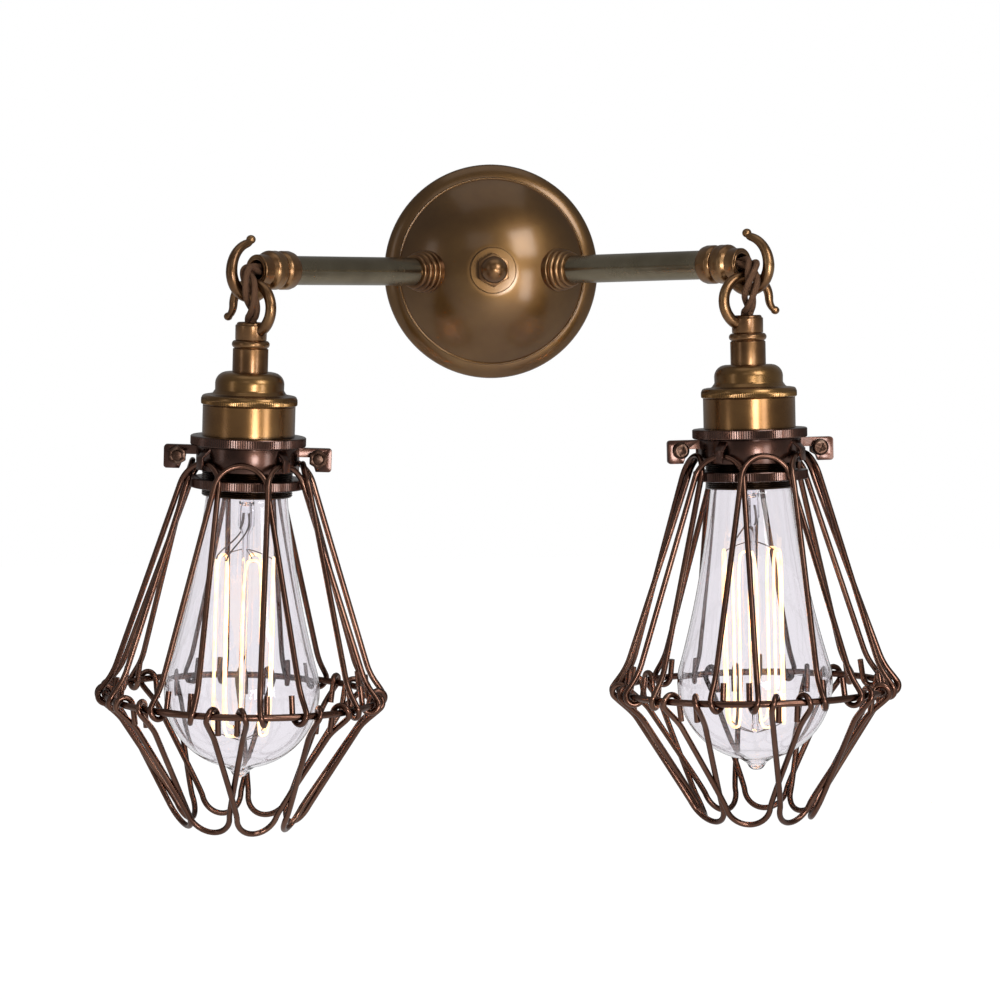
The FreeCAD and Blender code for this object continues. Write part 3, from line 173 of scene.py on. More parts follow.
def lowered(place, depth, turn=0):
    """A lamp's place moved down its axis and turned about it."""
    return (place @ Matrix.Translation(Vector((0, 0, -depth)))
            @ Matrix.Rotation(math.radians(turn), 4, "Z"))


def cage_place(side, place):
    """The lamp's place turned so that the collar's ears lie along the wall."""
    ahead = place.to_3x3() @ Vector((1, 0, 0))
    heading = math.degrees(math.atan2(ahead.y, ahead.x))
    return lowered(place, 0, (0 if side > 0 else 180) - heading)


ROSE = placing((0, 0, 0), (1, 0, 0), (0, -1, 0))


# ---- materials

def new_material(name):
    """A material with its node tree and its shader."""
    material = bpy.data.materials.new(name)
    material.use_nodes = True
    tree = material.node_tree
    shader = tree.nodes["Principled BSDF"]
    return material, tree, shader


def add(tree, kind, **settings):
    """A new node, with sockets or settings given by name."""
    node = tree.nodes.new(kind)
    for key, value in settings.items():
        if key in node.inputs:
            node.inputs[key].default_value = value
        else:
            setattr(node, key, value)
    return node


def noise_from(tree, source, scale, detail=3.0, roughness=0.55):
    """Noise over the place that source gives."""
    node = add(tree, "ShaderNodeTexNoise", Scale=scale, Detail=detail, Roughness=roughness)
    tree.links.new(source, node.inputs["Vector"])
    return node.outputs["Fac"]


def ramp_from(tree, source, stops):
    """Colours run between stops, each a place from 0 to 1 and a colour."""
    node = add(tree, "ShaderNodeValToRGB")
    ramp = node.color_ramp
    while len(ramp.elements) < len(stops):
        ramp.elements.new(0.5)
    for element, (place, colour) in zip(ramp.elements, stops):
        element.position = place
        element.color = (*colour, 1.0)
    tree.links.new(source, node.inputs["Fac"])
    return node.outputs["Color"]


def range_from(tree, source, low, high):
    """Spreads what runs from 0 to 1 between low and high."""
    node = add(tree, "ShaderNodeMapRange")
    node.inputs["To Min"].default_value = low
    node.inputs["To Max"].default_value = high
    tree.links.new(source, node.inputs["Value"])
    return node.outputs["Result"]


def greater_of(tree, first, second):
    """The greater of two values."""
    node = add(tree, "ShaderNodeMath", operation="MAXIMUM")
    tree.links.new(first, node.inputs[0])
    tree.links.new(second, node.inputs[1])
    return node.outputs["Value"]


def seen_directly(tree, rays):
    """1 for what the camera sees, through glass too, and 0 for the rest."""
    return greater_of(tree, rays.outputs["Is Camera Ray"], rays.outputs["Is Transmission Ray"])


def aged_metal(name, dark, middle, light, roughness, patches=45, grain=900,
               relief=0.08, coat=0.0, painted_shade_below=None):
    """Old bronzed or lacquered metal: cloudy colour, uneven gloss, fine grain.
    Below a given height it is darker still, a painted shade."""
    material, tree, shader = new_material(name)
    spot = add(tree, "ShaderNodeTexCoord").outputs["Object"]
    clouds = noise_from(tree, spot, patches, 4.0, 0.6)
    colour = ramp_from(tree, clouds, [(0.3, dark), (0.52, middle), (0.74, light)])
    # Painted shade: below that height the colour fades to a quarter of the dark tone.
    if painted_shade_below is not None:
        height = add(tree, "ShaderNodeSeparateXYZ")
        tree.links.new(spot, height.inputs["Vector"])
        fade = 0.0015
        painted_shade_share = add(tree, "ShaderNodeMapRange")
        painted_shade_share.inputs["From Min"].default_value = painted_shade_below - fade
        painted_shade_share.inputs["From Max"].default_value = painted_shade_below
        tree.links.new(height.outputs["Z"], painted_shade_share.inputs["Value"])
        mix = add(tree, "ShaderNodeMix", data_type="RGBA")
        mix.inputs["A"].default_value = (*(0.25 * part for part in dark), 1.0)
        tree.links.new(painted_shade_share.outputs["Result"], mix.inputs["Factor"])
        tree.links.new(colour, mix.inputs["B"])
        colour = mix.outputs["Result"]
    tree.links.new(colour, shader.inputs["Base Color"])
    gloss = noise_from(tree, spot, patches * 2.3, 5.0, 0.6)
    tree.links.new(range_from(tree, gloss, roughness - 0.07, roughness + 0.1),
                   shader.inputs["Roughness"])
    fine = noise_from(tree, spot, grain, 3.0, 0.7)
    bump = add(tree, "ShaderNodeBump", Strength=relief, Distance=0.0002)
    tree.links.new(fine, bump.inputs["Height"])
    tree.links.new(bump.outputs["Normal"], shader.inputs["Normal"])
    shader.inputs["Metallic"].default_value = 1.0
    shader.inputs["Coat Weight"].default_value = coat
    shader.inputs["Coat Roughness"].default_value = 0.18
    return material


def plain_stuff(name, low, high, roughness):
    """Moulded or glazed stuff with a faint mottling."""
    material, tree, shader = new_material(name)
    spot = add(tree, "ShaderNodeTexCoord").outputs["Object"]
    colour = ramp_from(tree, noise_from(tree, spot, 120), [(0.3, low), (0.7, high)])
    tree.links.new(colour, shader.inputs["Base Color"])
    shader.inputs["Roughness"].default_value = roughness
    return material


def clear_glass(name, tint, roughness=0.0):
    """Blown glass with a faint ripple."""
    material, tree, shader = new_material(name)
    spot = add(tree, "ShaderNodeTexCoord").outputs["Object"]
    ripple = noise_from(tree, spot, 38, 2.0)
    bump = add(tree, "ShaderNodeBump", Strength=0.05, Distance=0.0004)
    tree.links.new(ripple, bump.inputs["Height"])
    tree.links.new(bump.outputs["Normal"], shader.inputs["Normal"])
    shader.inputs["Base Color"].default_value = (*tint, 1.0)
    shader.inputs["Transmission Weight"].default_value = 1.0
    shader.inputs["Roughness"].default_value = roughness
    shader.inputs["IOR"].default_value = 1.46
    return material


def glowing(name, edge, core, strength):
    """Lit filament: the colour wanders a little along the strand."""
    material, tree, shader = new_material(name)
    spot = add(tree, "ShaderNodeTexCoord").outputs["Object"]
    colour = ramp_from(tree, noise_from(tree, spot, 160), [(0.35, edge), (0.65, core)])
    tree.links.new(colour, shader.inputs["Emission Color"])
    shader.inputs["Emission Strength"].default_value = strength
    shader.inputs["Base Color"].default_value = (*core, 1.0)
    return material


def braided(name):
    """Plaited cotton over each core: two sets of threads that cross."""
    material, tree, shader = new_material(name)
    layout = add(tree, "ShaderNodeUVMap").outputs["UV"]
    height = None
    for slant in (1, -1):
        turn = add(tree, "ShaderNodeMapping")
        turn.inputs["Rotation"].default_value = (0, 0, math.radians(38 * slant))
        tree.links.new(layout, turn.inputs["Vector"])
        wave = add(tree, "ShaderNodeTexWave", Scale=4.2, Distortion=0.6)
        tree.links.new(turn.outputs["Vector"], wave.inputs["Vector"])
        crest = wave.outputs["Fac"]
        height = greater_of(tree, height, crest) if height else crest
    # The colour follows the weave's height: darkest in the grooves between threads, a painted
    # shade.
    colour = ramp_from(tree, height, [
        (0.25, (0.03, 0.012, 0.006)), (0.6, (0.1, 0.045, 0.022)), (0.95, (0.2, 0.1, 0.052))])
    tree.links.new(colour, shader.inputs["Base Color"])
    bump = add(tree, "ShaderNodeBump", Strength=0.7, Distance=0.00025)
    tree.links.new(height, bump.inputs["Height"])
    tree.links.new(bump.outputs["Normal"], shader.inputs["Normal"])
    shader.inputs["Roughness"].default_value = 0.85
    shader.inputs["Specular IOR Level"].default_value = 0.25
    return material


BRONZED_ROSE = aged_metal("bronzed_rose", (0.115, 0.054, 0.016), (0.16, 0.08, 0.024),
                          (0.21, 0.112, 0.036), 0.36, patches=22, coat=0.8)
COPPER_BRONZE = aged_metal("copper_bronze", (0.13, 0.06, 0.023), (0.24, 0.122, 0.048),
                           (0.4, 0.24, 0.11), 0.29, patches=60, coat=0.4)
OLD_BRASS = aged_metal("old_brass", (0.15, 0.072, 0.022), (0.25, 0.132, 0.043),
                       (0.38, 0.22, 0.082), 0.27, patches=38, coat=0.4)
# A painted shade darkens the holder body below the height -0.0672 m.
BODY_BRASS = aged_metal("body_brass", (0.15, 0.068, 0.021), (0.25, 0.125, 0.041),
                        (0.36, 0.2, 0.075), 0.24, patches=26, coat=0.4,
                        painted_shade_below=-0.0672)
TUBE_BRASS = aged_metal("tube_brass", (0.17, 0.138, 0.088), (0.25, 0.21, 0.14),
                        (0.36, 0.31, 0.22), 0.24, patches=30, coat=0.25)
DARK_RING = aged_metal("dark_ring", (0.045, 0.018, 0.011), (0.08, 0.033, 0.021),
                       (0.14, 0.068, 0.046), 0.27, patches=70, coat=0.6)
CAGE_WIRE = aged_metal("cage_wire", (0.085, 0.033, 0.019), (0.125, 0.054, 0.032),
                       (0.2, 0.105, 0.068), 0.23, patches=28, grain=500, relief=0.02,
                       coat=0.4)
DARK_SCREW = aged_metal("dark_screw", (0.03, 0.016, 0.011), (0.07, 0.038, 0.026),
                        (0.18, 0.12, 0.09), 0.33, patches=300)
ZINC = aged_metal("zinc_plate", (0.36, 0.36, 0.35), (0.5, 0.5, 0.48), (0.62, 0.61, 0.58),
                  0.36, patches=120)
CAP_BRASS = aged_metal("cap_brass", (0.42, 0.3, 0.12), (0.55, 0.41, 0.18),
                       (0.68, 0.54, 0.28), 0.28, patches=90)
GLAZE = plain_stuff("white_glaze", (0.7, 0.68, 0.63), (0.8, 0.78, 0.73), 0.25)
BLOCK = plain_stuff("block_stuff", (0.72, 0.7, 0.65), (0.8, 0.79, 0.75), 0.55)
GLASS = clear_glass("bulb_glass_clear", (0.9, 0.88, 0.91))
STEM_GLASS = clear_glass("stem_glass_clear", (0.95, 0.95, 0.98), 0.02)
GLOW = glowing("lit_filament", (1.0, 0.5, 0.2), (1.0, 0.74, 0.42), 1.7)
LEAD = aged_metal("lead_wire", (0.08, 0.06, 0.05), (0.14, 0.11, 0.1), (0.3, 0.26, 0.24), 0.35)
BRAID = braided("braided_cotton")

BY_SLOT = {
    "dark_bronze": BRONZED_ROSE, "antique_brass": OLD_BRASS, "copper_bronze": COPPER_BRONZE,
    "chocolate_ring": DARK_RING, "cage_wire": CAGE_WIRE, "steel": ZINC,
    "dark_fastener": DARK_SCREW, "ceramic": GLAZE, "terminal": BLOCK, "clear_glass": GLASS,
    "stem_glass": STEM_GLASS, "filament_glow": GLOW, "cap_brass": CAP_BRASS,
    "braided_flex": BRAID,
}

# ---- tools

def only(*things):
    """Leaves these objects selected and nothing else."""
    if bpy.context.object and bpy.context.object.mode != "OBJECT":
        bpy.ops.object.mode_set(mode="OBJECT")
    bpy.ops.object.select_all(action="DESELECT")
    for thing in things:
        thing.select_set(True)
    bpy.context.view_layer.objects.active = things[0] if things else None


def editing(thing, select="SELECT"):
    """Opens a mesh for editing with all of it selected, or none."""
    only(thing)
    bpy.ops.object.mode_set(mode="EDIT")
    bpy.ops.mesh.select_all(action=select)


def closed_up(thing):
    """Merges what coincides and turns every face outwards."""
    editing(thing)
    bpy.ops.mesh.remove_doubles(threshold=2e-6)
    bpy.ops.mesh.normals_make_consistent(inside=False)
    bpy.ops.object.mode_set(mode="OBJECT")


def smoothed(thing, angle):
    """Shades a piece round, but for edges sharper than angle."""
    only(thing)
    bpy.ops.object.shade_smooth_by_angle(angle=math.radians(angle))


def bevelled(thing, width):
    """Eases the sharp edges of a piece."""
    only(thing)
    edge = thing.modifiers.new("edges", "BEVEL")
    edge.width = width * MM
    edge.segments = 2
    edge.limit_method = "ANGLE"
    edge.angle_limit = math.radians(40)
    bpy.ops.object.modifier_apply(modifier=edge.name)


def combined(thing, other, operation):
    """Cuts, trims or joins a piece with another solid, which is used up."""
    only(thing)
    step = thing.modifiers.new("combine", "BOOLEAN")
    step.operation = operation
    step.solver = "EXACT"
    step.object = other
    bpy.ops.object.modifier_apply(modifier=step.name)
    bpy.data.objects.remove(other)


def linked(name, data):
    """A new object in the scene."""
    thing = bpy.data.objects.new(name, data)
    bpy.context.scene.collection.objects.link(thing)
    return thing


def placed(thing, place):
    """Puts a mesh that was shaped at the origin, in metres, at its place."""
    move = place.copy()
    move.translation = place.translation * MM
    thing.data.transform(move)
    thing.data.update()


def joined(name, *things):
    """One object made of these."""
    only(*things)
    if len(things) > 1:
        bpy.ops.object.join()
    whole = bpy.context.object
    whole.name = name
    whole.data.name = name
    return whole


def copied(thing, place):
    """A copy with its own mesh, moved within the part's frame."""
    only(thing)
    bpy.ops.object.duplicate()
    other = bpy.context.object
    placed(other, place)
    return other


def finished(thing, body, *nodes, material=None, name=None):
    """Dresses a piece, lets it ride on its body and stand for CAD nodes."""
    if name:
        thing.name = name
        thing.data.name = name
    thing.data.materials.clear()
    slot = SLOT_OF[nodes[0]]
    thing.data.materials.append(material or BY_SLOT[slot])
    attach(thing, body)
    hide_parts(*nodes)
    return thing


def traced(corners, steps):
    """Points of an outline. A corner is (radius, height), or (radius, height,
    bow) where an arc of radius |bow| leaves it, bulging right for bow > 0."""
    points = []
    for corner, after in zip(corners, corners[1:] + corners[:1]):
        start = Vector(corner[:2])
        points.append(start)
        if len(corner) < 3:
            continue
        half = (Vector(after[:2]) - start) / 2
        side = Vector((half.y, -half.x)).normalized()
        bow = corner[2]
        drop = math.sqrt(max(bow * bow - half.length_squared, 0))
        centre = start + half - side * math.copysign(drop, bow)
        first = start - centre
        sweep = 2 * math.asin(min(half.length / abs(bow), 1))
        for k in range(1, steps):
            angle = math.copysign(sweep * k / steps, bow)
            points.append(centre + Matrix.Rotation(angle, 2) @ first)
    return points


def drawn(name, points):
    """A line of vertices drawn out from point to point, as a mesh."""
    only()
    bpy.ops.mesh.primitive_circle_add(vertices=3, radius=MM)
    thing = bpy.context.object
    thing.name = name
    editing(thing)
    bpy.ops.mesh.merge(type="CENTER")
    bpy.ops.transform.translate(value=Vector(points[0]) * MM)
    for point, after in zip(points, points[1:]):
        bpy.ops.mesh.extrude_vertices_move(
            TRANSFORM_OT_translate={"value": (Vector(after) - Vector(point)) * MM})
    bpy.ops.object.mode_set(mode="OBJECT")
    return thing


def lathe(name, corners, place, turns, steps=8, angle=32):
    """Draws a closed outline and spins it about Z into a closed skin."""
    outline = traced(corners, steps)
    thing = drawn(name, [(point.x, 0, point.y) for point in outline + outline[:1]])
    editing(thing)
    bpy.ops.mesh.spin(steps=turns, angle=2 * math.pi, center=(0, 0, 0), axis=(0, 0, 1))
    bpy.ops.object.mode_set(mode="OBJECT")
    closed_up(thing)
    smoothed(thing, angle)
    placed(thing, place)
    return thing


def reeded(thing, reach, depth, height=(-math.inf, math.inf)):
    """Cuts fine upright reeds in the rim of a turned piece still at the origin:
    every other column of rim points is drawn in towards the axis."""
    editing(thing, "DESELECT")
    mesh = bmesh.from_edit_mesh(thing.data)
    rim = [v for v in mesh.verts
           if math.hypot(v.co.x, v.co.y) > reach * MM
           and height[0] * MM < v.co.z < height[1] * MM]
    columns = sorted({round(math.atan2(v.co.y, v.co.x), 4) for v in rim})
    inward = set(columns[::2])
    for v in rim:
        v.select = round(math.atan2(v.co.y, v.co.x), 4) in inward
    bmesh.update_edit_mesh(thing.data)
    shrink = 1 - depth / reach
    bpy.ops.transform.resize(value=(shrink, shrink, 1), center_override=(0, 0, 0))
    bpy.ops.object.mode_set(mode="OBJECT")


def wire(name, points, radius, place, radii=None, kind="NURBS", *, around, finesse=6):
    """A round wire along points, smooth through their corners, as a mesh."""
    thing = drawn(name, points)
    only(thing)
    bpy.ops.object.convert(target="CURVE")
    thing = bpy.context.object
    spline = thing.data.splines[0]
    if radii and (spline.points[0].co.to_3d() - Vector(points[0]) * MM).length > 1e-6:
        radii = radii[::-1]
    for k, spot in enumerate(spline.points):
        spot.radius = radii[k] / radius if radii else 1
    return rounded(thing, radius, place, kind, around, finesse, open_ended=True)


def rounded(thing, radius, place, kind, around, finesse, open_ended):
    """Gives a drawn line its round section, and makes a closed skin of it."""
    only(thing)
    bpy.ops.object.mode_set(mode="EDIT")
    bpy.ops.curve.select_all(action="SELECT")
    bpy.ops.curve.spline_type_set(type=kind)
    bpy.ops.object.mode_set(mode="OBJECT")
    spline = thing.data.splines[0]
    if kind == "NURBS":
        spline.order_u = 3
        spline.use_endpoint_u = open_ended
    thing.data.resolution_u = finesse
    thing.data.bevel_depth = radius * MM
    thing.data.bevel_resolution = around
    thing.data.use_fill_caps = open_ended
    bpy.ops.object.convert(target="MESH")
    thing = bpy.context.object
    closed_up(thing)
    smoothed(thing, 45)
    placed(thing, place)
    return thing


def ball(name, radius, centre, place):
    """A forged ball end, a little flatter than it is wide."""
    only()
    bpy.ops.mesh.primitive_uv_sphere_add(segments=24, ring_count=16, radius=radius * MM)
    thing = bpy.context.object
    thing.name = name
    editing(thing)
    bpy.ops.transform.resize(value=(1.0, 1.0, 0.94), center_override=(0, 0, 0))
    bpy.ops.object.mode_set(mode="OBJECT")
    smoothed(thing, 60)
    placed(thing, place @ Matrix.Translation(Vector(centre)))
    return thing


def fused(name, base, *others):
    """One skin from pieces that were cast together."""
    for other in others:
        combined(base, other, "UNION")
    base.name = name
    smoothed(base, 34)
    return base


def from_node(node, body, edge=0.0):
    """A finer copy of a CAD node: merged, its corners eased and shaded round."""
    only(frame["nodes"][node])
    bpy.ops.object.duplicate()
    thing = bpy.context.object
    thing.parent = None
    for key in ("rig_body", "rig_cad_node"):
        if key in thing:
            del thing[key]
    editing(thing)
    bpy.ops.mesh.remove_doubles(threshold=1e-6)
    bpy.ops.mesh.dissolve_limited(angle_limit=math.radians(0.6))
    bpy.ops.object.mode_set(mode="OBJECT")
    if edge:
        bevelled(thing, edge)
    smoothed(thing, 34)
    finished(thing, body, node, name=node + "_piece")


def bent_path(start, heading, bends):
    """Points in the XZ plane along bends that follow each other in line. A bend
    is (radius, degrees), to the left for degrees > 0, or a plain length."""
    step = 6
    point = Vector((start[0], 0, start[1]))
    points = [point]
    marks = [0]
    for bend in bends:
        ahead = Vector((math.cos(math.radians(heading)), 0, math.sin(math.radians(heading))))
        if not isinstance(bend, tuple):
            point = point + ahead * bend
            points.append(point)
            marks.append(len(points) - 1)
            continue
        radius, degrees = bend
        left = Vector((-ahead.z, 0, ahead.x)) * math.copysign(radius, degrees)
        centre = point + left
        arm = point - centre
        pieces = max(3, round(abs(degrees) / step))
        for k in range(1, pieces + 1):
            spin = Matrix.Rotation(-math.radians(degrees * k / pieces), 3, "Y")
            points.append(centre + spin @ arm)
        point = points[-1]
        marks.append(len(points) - 1)
        heading += degrees
    return points, marks


def eased(marks, sizes, count):
    """A size for each point, running evenly between sizes given at marks."""
    out = []
    for k in range(count):
        for (a, low), (b, high) in zip(zip(marks, sizes), zip(marks[1:], sizes[1:])):
            if a <= k <= b:
                out.append(low + (high - low) * (k - a) / (b - a))
                break
    return out


def hooked(name, cast, centre, radius, leaves_at, bends, sizes, tip, place):
    """A casting with its bent rod, which leaves it on an arc about centre, and
    with the ball at the rod's free end."""
    angle = math.radians(leaves_at)
    start = (centre[0] + radius * math.cos(angle), centre[1] + radius * math.sin(angle))
    points, marks = bent_path(start, leaves_at + 90, bends)
    radii = eased(marks, sizes, len(points))
    rod = wire(name + "_rod", points, 2.0, place, radii, kind="POLY", around=8)
    end = ball(name + "_ball", tip, points[-1], place)
    return fused(name + "_hook", cast, rod, end)


# ---- rose and its fixing

DOME = 55.2                         # radius to which the dome is spun
DOME_HEIGHT = 22.0
LAND = 10.6                         # radius of the flat on top of the dome
DOME_MIDDLE = DOME_HEIGHT - math.sqrt(DOME ** 2 - LAND ** 2)
STUD_HOLE = 4.3
NUT_SEAT = 23.4                     # outer face of the washer
HEXAGON = 7.3                       # radius to the corners
HEXAGON_HEIGHT = 6.4


def dome_level(radius, inset=0.0):
    """Height of the dome's skin, or of a skin inset below it."""
    return DOME_MIDDLE + math.sqrt((DOME - inset) ** 2 - radius ** 2)


def make_rose():
    """Spun rose with a turned step line round the dome."""
    wall = 1.2
    rose = lathe("rose_spun", [
        (45.3, 0), (46.5, 0), (46.5, 1.3, 2.4), (45.5, 3.3, 10.5), (40.75, 5.75),
        (40.6, 5.95, 0.3), (40.1, 6.2), (39.8, dome_level(39.8), DOME),
        (LAND, DOME_HEIGHT), (STUD_HOLE, DOME_HEIGHT), (STUD_HOLE, DOME_HEIGHT - wall),
        (9.6, DOME_HEIGHT - wall), (39.0, dome_level(39.0, wall)),
        (41.7, 4.4, -3.4), (45.3, 1.4)], ROSE, turns=160, steps=26)
    for side in SIDES.values():
        only()
        bpy.ops.mesh.primitive_cylinder_add(vertices=48, radius=ARM_HOLE * MM, depth=24 * MM)
        drill = bpy.context.object
        placed(drill, on_arm(side, 0))
        combined(rose, drill, "DIFFERENCE")
    smoothed(rose, 24)
    finished(rose, WALL_PART, "rose")


def make_cap_nut():
    """Acorn nut: a chamfered hexagon under a ball."""
    washer = lathe("cap_nut_seat", [
        (STUD_HOLE, DOME_HEIGHT), (10, DOME_HEIGHT), (10, 22.9, 0.5), (9.5, NUT_SEAT),
        (STUD_HOLE, NUT_SEAT)], ROSE, turns=72)
    finished(washer, WALL_PART, "cap_nut_washer")
    size = {"depth": HEXAGON_HEIGHT * MM, "location": (0, 0, HEXAGON_HEIGHT / 2 * MM)}
    only()
    bpy.ops.mesh.primitive_cylinder_add(vertices=6, radius=HEXAGON * MM, **size)
    hexagon = bpy.context.object
    bpy.ops.object.transform_apply()
    only()
    bpy.ops.mesh.primitive_cone_add(vertices=72, radius1=17.6 * MM, radius2=6.6 * MM, **size)
    trim = bpy.context.object
    bpy.ops.object.transform_apply()
    combined(hexagon, trim, "INTERSECT")
    bevelled(hexagon, 0.2)
    dome = lathe("cap_nut_dome", [
        (0, 5.6), (4.6, 5.6), (4.6, HEXAGON_HEIGHT, -0.5), (5.2, 6.9), (5.8, 9.3, 6.0),
        (0, 15.3)], Matrix.Identity(4), turns=64, steps=16)
    nut = joined("cap_nut_piece", hexagon, dome)
    placed(nut, ROSE @ Matrix.Translation(Vector((0, 0, NUT_SEAT))))
    smoothed(nut, 34)
    finished(nut, WALL_PART, "cap_nut")


def make_wall_part():
    """What is fixed to the wall, apart from the arms."""
    make_rose()
    make_cap_nut()
    from_node("rose_stud", WALL_PART)
    from_node("wall_strap", WALL_PART, 0.25)
    from_node("terminal_block", WALL_PART, 0.4)


# ---- arms

def make_arm(name, side):
    """Flange, tube and coupler, then the end fitting with its horn."""
    seat = on_arm(side, 0)
    from_node(name + "_arm_nut", WALL_PART, 0.3)
    flange = lathe(name + "_flange_rings", [
        (5.0, 0.4), (9.2, -2.6), (9.2, -0.4, 0.5), (8.7, 0.2), (8.3, 0.35), (8.3, 0.8),
        (8.6, 0.95), (8.7, 1.3, 1.1), (8.7, 2.7), (8.35, 2.95), (7.9, 3.05), (7.9, 3.5),
        (8.15, 3.7), (8.2, 4.0, 0.9), (8.1, 5.0), (7.7, 5.3), (7.2, 5.45), (7.2, 5.8),
        (7.4, 6.0), (7.4, 6.9, 0.7), (6.7, 7.6), (5.0, 7.6)], seat, turns=96, steps=5)
    finished(flange, WALL_PART, name + "_arm_flange")
    tube_end = ARM_LENGTH - TUBE_BACK
    tube = lathe(name + "_tube_drawn", [
        (4.1, -11), (4.45, -11), (4.95, -10.5), (4.95, 7.6), (6, 7.6), (6, tube_end),
        (4.1, tube_end)], seat, turns=96)
    finished(tube, WALL_PART, name + "_arm_tube", material=TUBE_BRASS)
    mouth = on_arm(side, ARM_LENGTH)
    coupler = lathe(name + "_coupler_bead", [
        (6.05, -19.8), (6.7, -19.8), (7.1, -19.4, 1.4), (7.7, -18.4), (8.0, -17.4),
        (8.0, -14.6, 2.0), (7.5, -13.0, 1.2), (6.9, -12.4), (5.05, -12.4),
        (5.05, -TUBE_BACK), (6.05, -TUBE_BACK)], mouth, turns=96, steps=6)
    finished(coupler, WALL_PART, name + "_arm_coupler")
    make_hook(name, side, mouth)


def make_hook(name, side, mouth):
    """Bead and open mouth, cast in one with the horn below it."""
    bead = lathe(name + "_mouth_bead", [
        (4.0, -14.3), (5.0, -14.3), (5.0, -12.35), (6.9, -12.35), (7.5, -11.7, 1.9),
        (8.0, -10.0), (8.0, -8.0, 2.4), (7.35, -5.7), (6.75, -5.1), (6.5, -4.85),
        (6.45, -4.2), (6.4, -0.6, 0.5), (5.9, 0), (5.2, -0.1, 0.6), (4.2, -0.8),
        (4.0, -1.2)], mouth, turns=96)
    below_mouth = Matrix.Translation(arm_way(side) * ARM_LENGTH) @ arm_frame(side)
    hook = hooked(name + "_horn", bead, centre=(3.6, -0.8), radius=9.9, leaves_at=-150,
                  bends=[(9.9, 60), (9.9, 90), (12.0, 75), (3.5, -30), (3.5, -15)],
                  sizes=[2.9, 2.65, 2.4, 1.7, 1.45, 1.8], tip=1.95, place=below_mouth)
    finished(hook, WALL_PART, name + "_arm_hook")


# ---- lamps

def make_crook(name, body, place):
    """Cord grip cast in one with the crook."""
    grip = lathe(name + "_grip_cup", [
        (3.1, -6.3), (6.2, -6.3), (6.4, -5.9), (6.45, -0.6, 0.5), (6.0, 0, 0.4),
        (3.8, 0.0, 0.5), (3.1, -0.6)], place, turns=72, steps=5)
    crook = hooked(name + "_crook", grip, centre=(1.0, 7), radius=10.3, leaves_at=-67,
                   bends=[(10.3, 67), (9.6, 90), 3.7, (9.0, 90), (5.5, -48), (5.5, -14)],
                   sizes=[2.4, 2.25, 2.15, 2.15, 1.75, 1.4, 1.65], tip=1.8, place=place)
    finished(crook, body, name + "_crook")


def make_neck(name, body, place):
    """Beaded neck with the screw that grips the cord."""
    neck = lathe(name + "_neck_turned", [
        (3.1, -22.6), (5, -22.6), (5, -19.2), (7.25, -19.2), (7.25, -10.0, 0.5),
        (6.9, -9.6), (6.75, -9.45, -0.3), (7.1, -9.2, 1.65), (7.1, -6.6), (6.6, -6.35),
        (3.1, -6.3)], place, turns=80, steps=6)
    finished(neck, body, name + "_neck")
    from_node(name + "_grip_screw", body, 0.1)


def make_holder(name, body, place):
    """Cap with a reeded rim, and the threaded body under it."""
    cap = lathe(name + "_cap_spun", [
        (17.9, -CAP_FOOT), (18.9, -CAP_FOOT), (19.35, -32.5, 0.5), (19.65, -31.9), (19.7, -31.2),
        (19.65, -30.2), (19.3, -29.4, 1.2), (18.3, -28.7), (17.2, -28.5, -2.2),
        (14.6, -27.3, -1.6), (14.05, -26.2), (14.1, -23.8, 4.9), (9.6, -19.2),
        (5.05, -19.2), (5.05, -20.5), (9.0, -20.5), (12.7, -23.8), (12.7, -29.6),
        (17.8, -30.2)], Matrix.Identity(4), turns=280)
    reeded(cap, 19.2, 0.22, (-32.3, -29.6))
    smoothed(cap, 32)
    placed(cap, place)
    finished(cap, body, name + "_holder_cap")
    pitch = 0.8
    thread = [(17.4, -BODY_FOOT), (18.2, -BODY_FOOT)]
    crests = int((BODY_FOOT - 45.4) / pitch)
    for k in range(crests):
        thread.append((18.6, -BODY_FOOT + 0.4 + pitch * (k + 0.25)))
        thread.append((18.25, -BODY_FOOT + 0.4 + pitch * (k + 0.75)))
    outline = thread + [
        (18.6, -45.2), (18.9, -45.2), (18.9, -33.2, 0.3), (18.6, -CAP_FOOT),
        (17.75, -CAP_FOOT), (17.75, -30.5), (16.0, -30.5), (16.0, -31.5), (17.4, -31.5)]
    shell = lathe(name + "_body_turned", outline, place, turns=112, steps=4)
    finished(shell, body, name + "_holder_body", material=BODY_BRASS)
    from_node(name + "_holder_core", body)
    from_node(name + "_screw_shell", body)
    from_node(name + "_centre_contact", body, 0.1)


def make_shade_rings(name, place):
    """Both shade rings, reeded for the fingers."""
    for label, depth in RING_TOPS.items():
        low = -depth - RING_HEIGHT
        ring = lathe(f"{name}_{label}_reeded", [
            (18.68, low), (23.0, low), (23.35, low + 0.15), (23.6, low + 0.5),
            (23.6, -depth - 0.5), (23.35, -depth - 0.15), (23.0, -depth),
            (19.4, -depth), (18.68, -depth - 0.5)], Matrix.Identity(4), turns=300)
        reeded(ring, 23.5, 0.2)
        smoothed(ring, 34)
        placed(ring, place)
        finished(ring, f"{name}_{label}_shade_ring", f"{name}_{label}_ring")


# ---- cage

def out_at(azimuth):
    """Outwards from a lamp's axis; azimuth 0 is its front."""
    angle = math.radians(azimuth)
    return Vector((math.sin(angle), -math.cos(angle), 0))


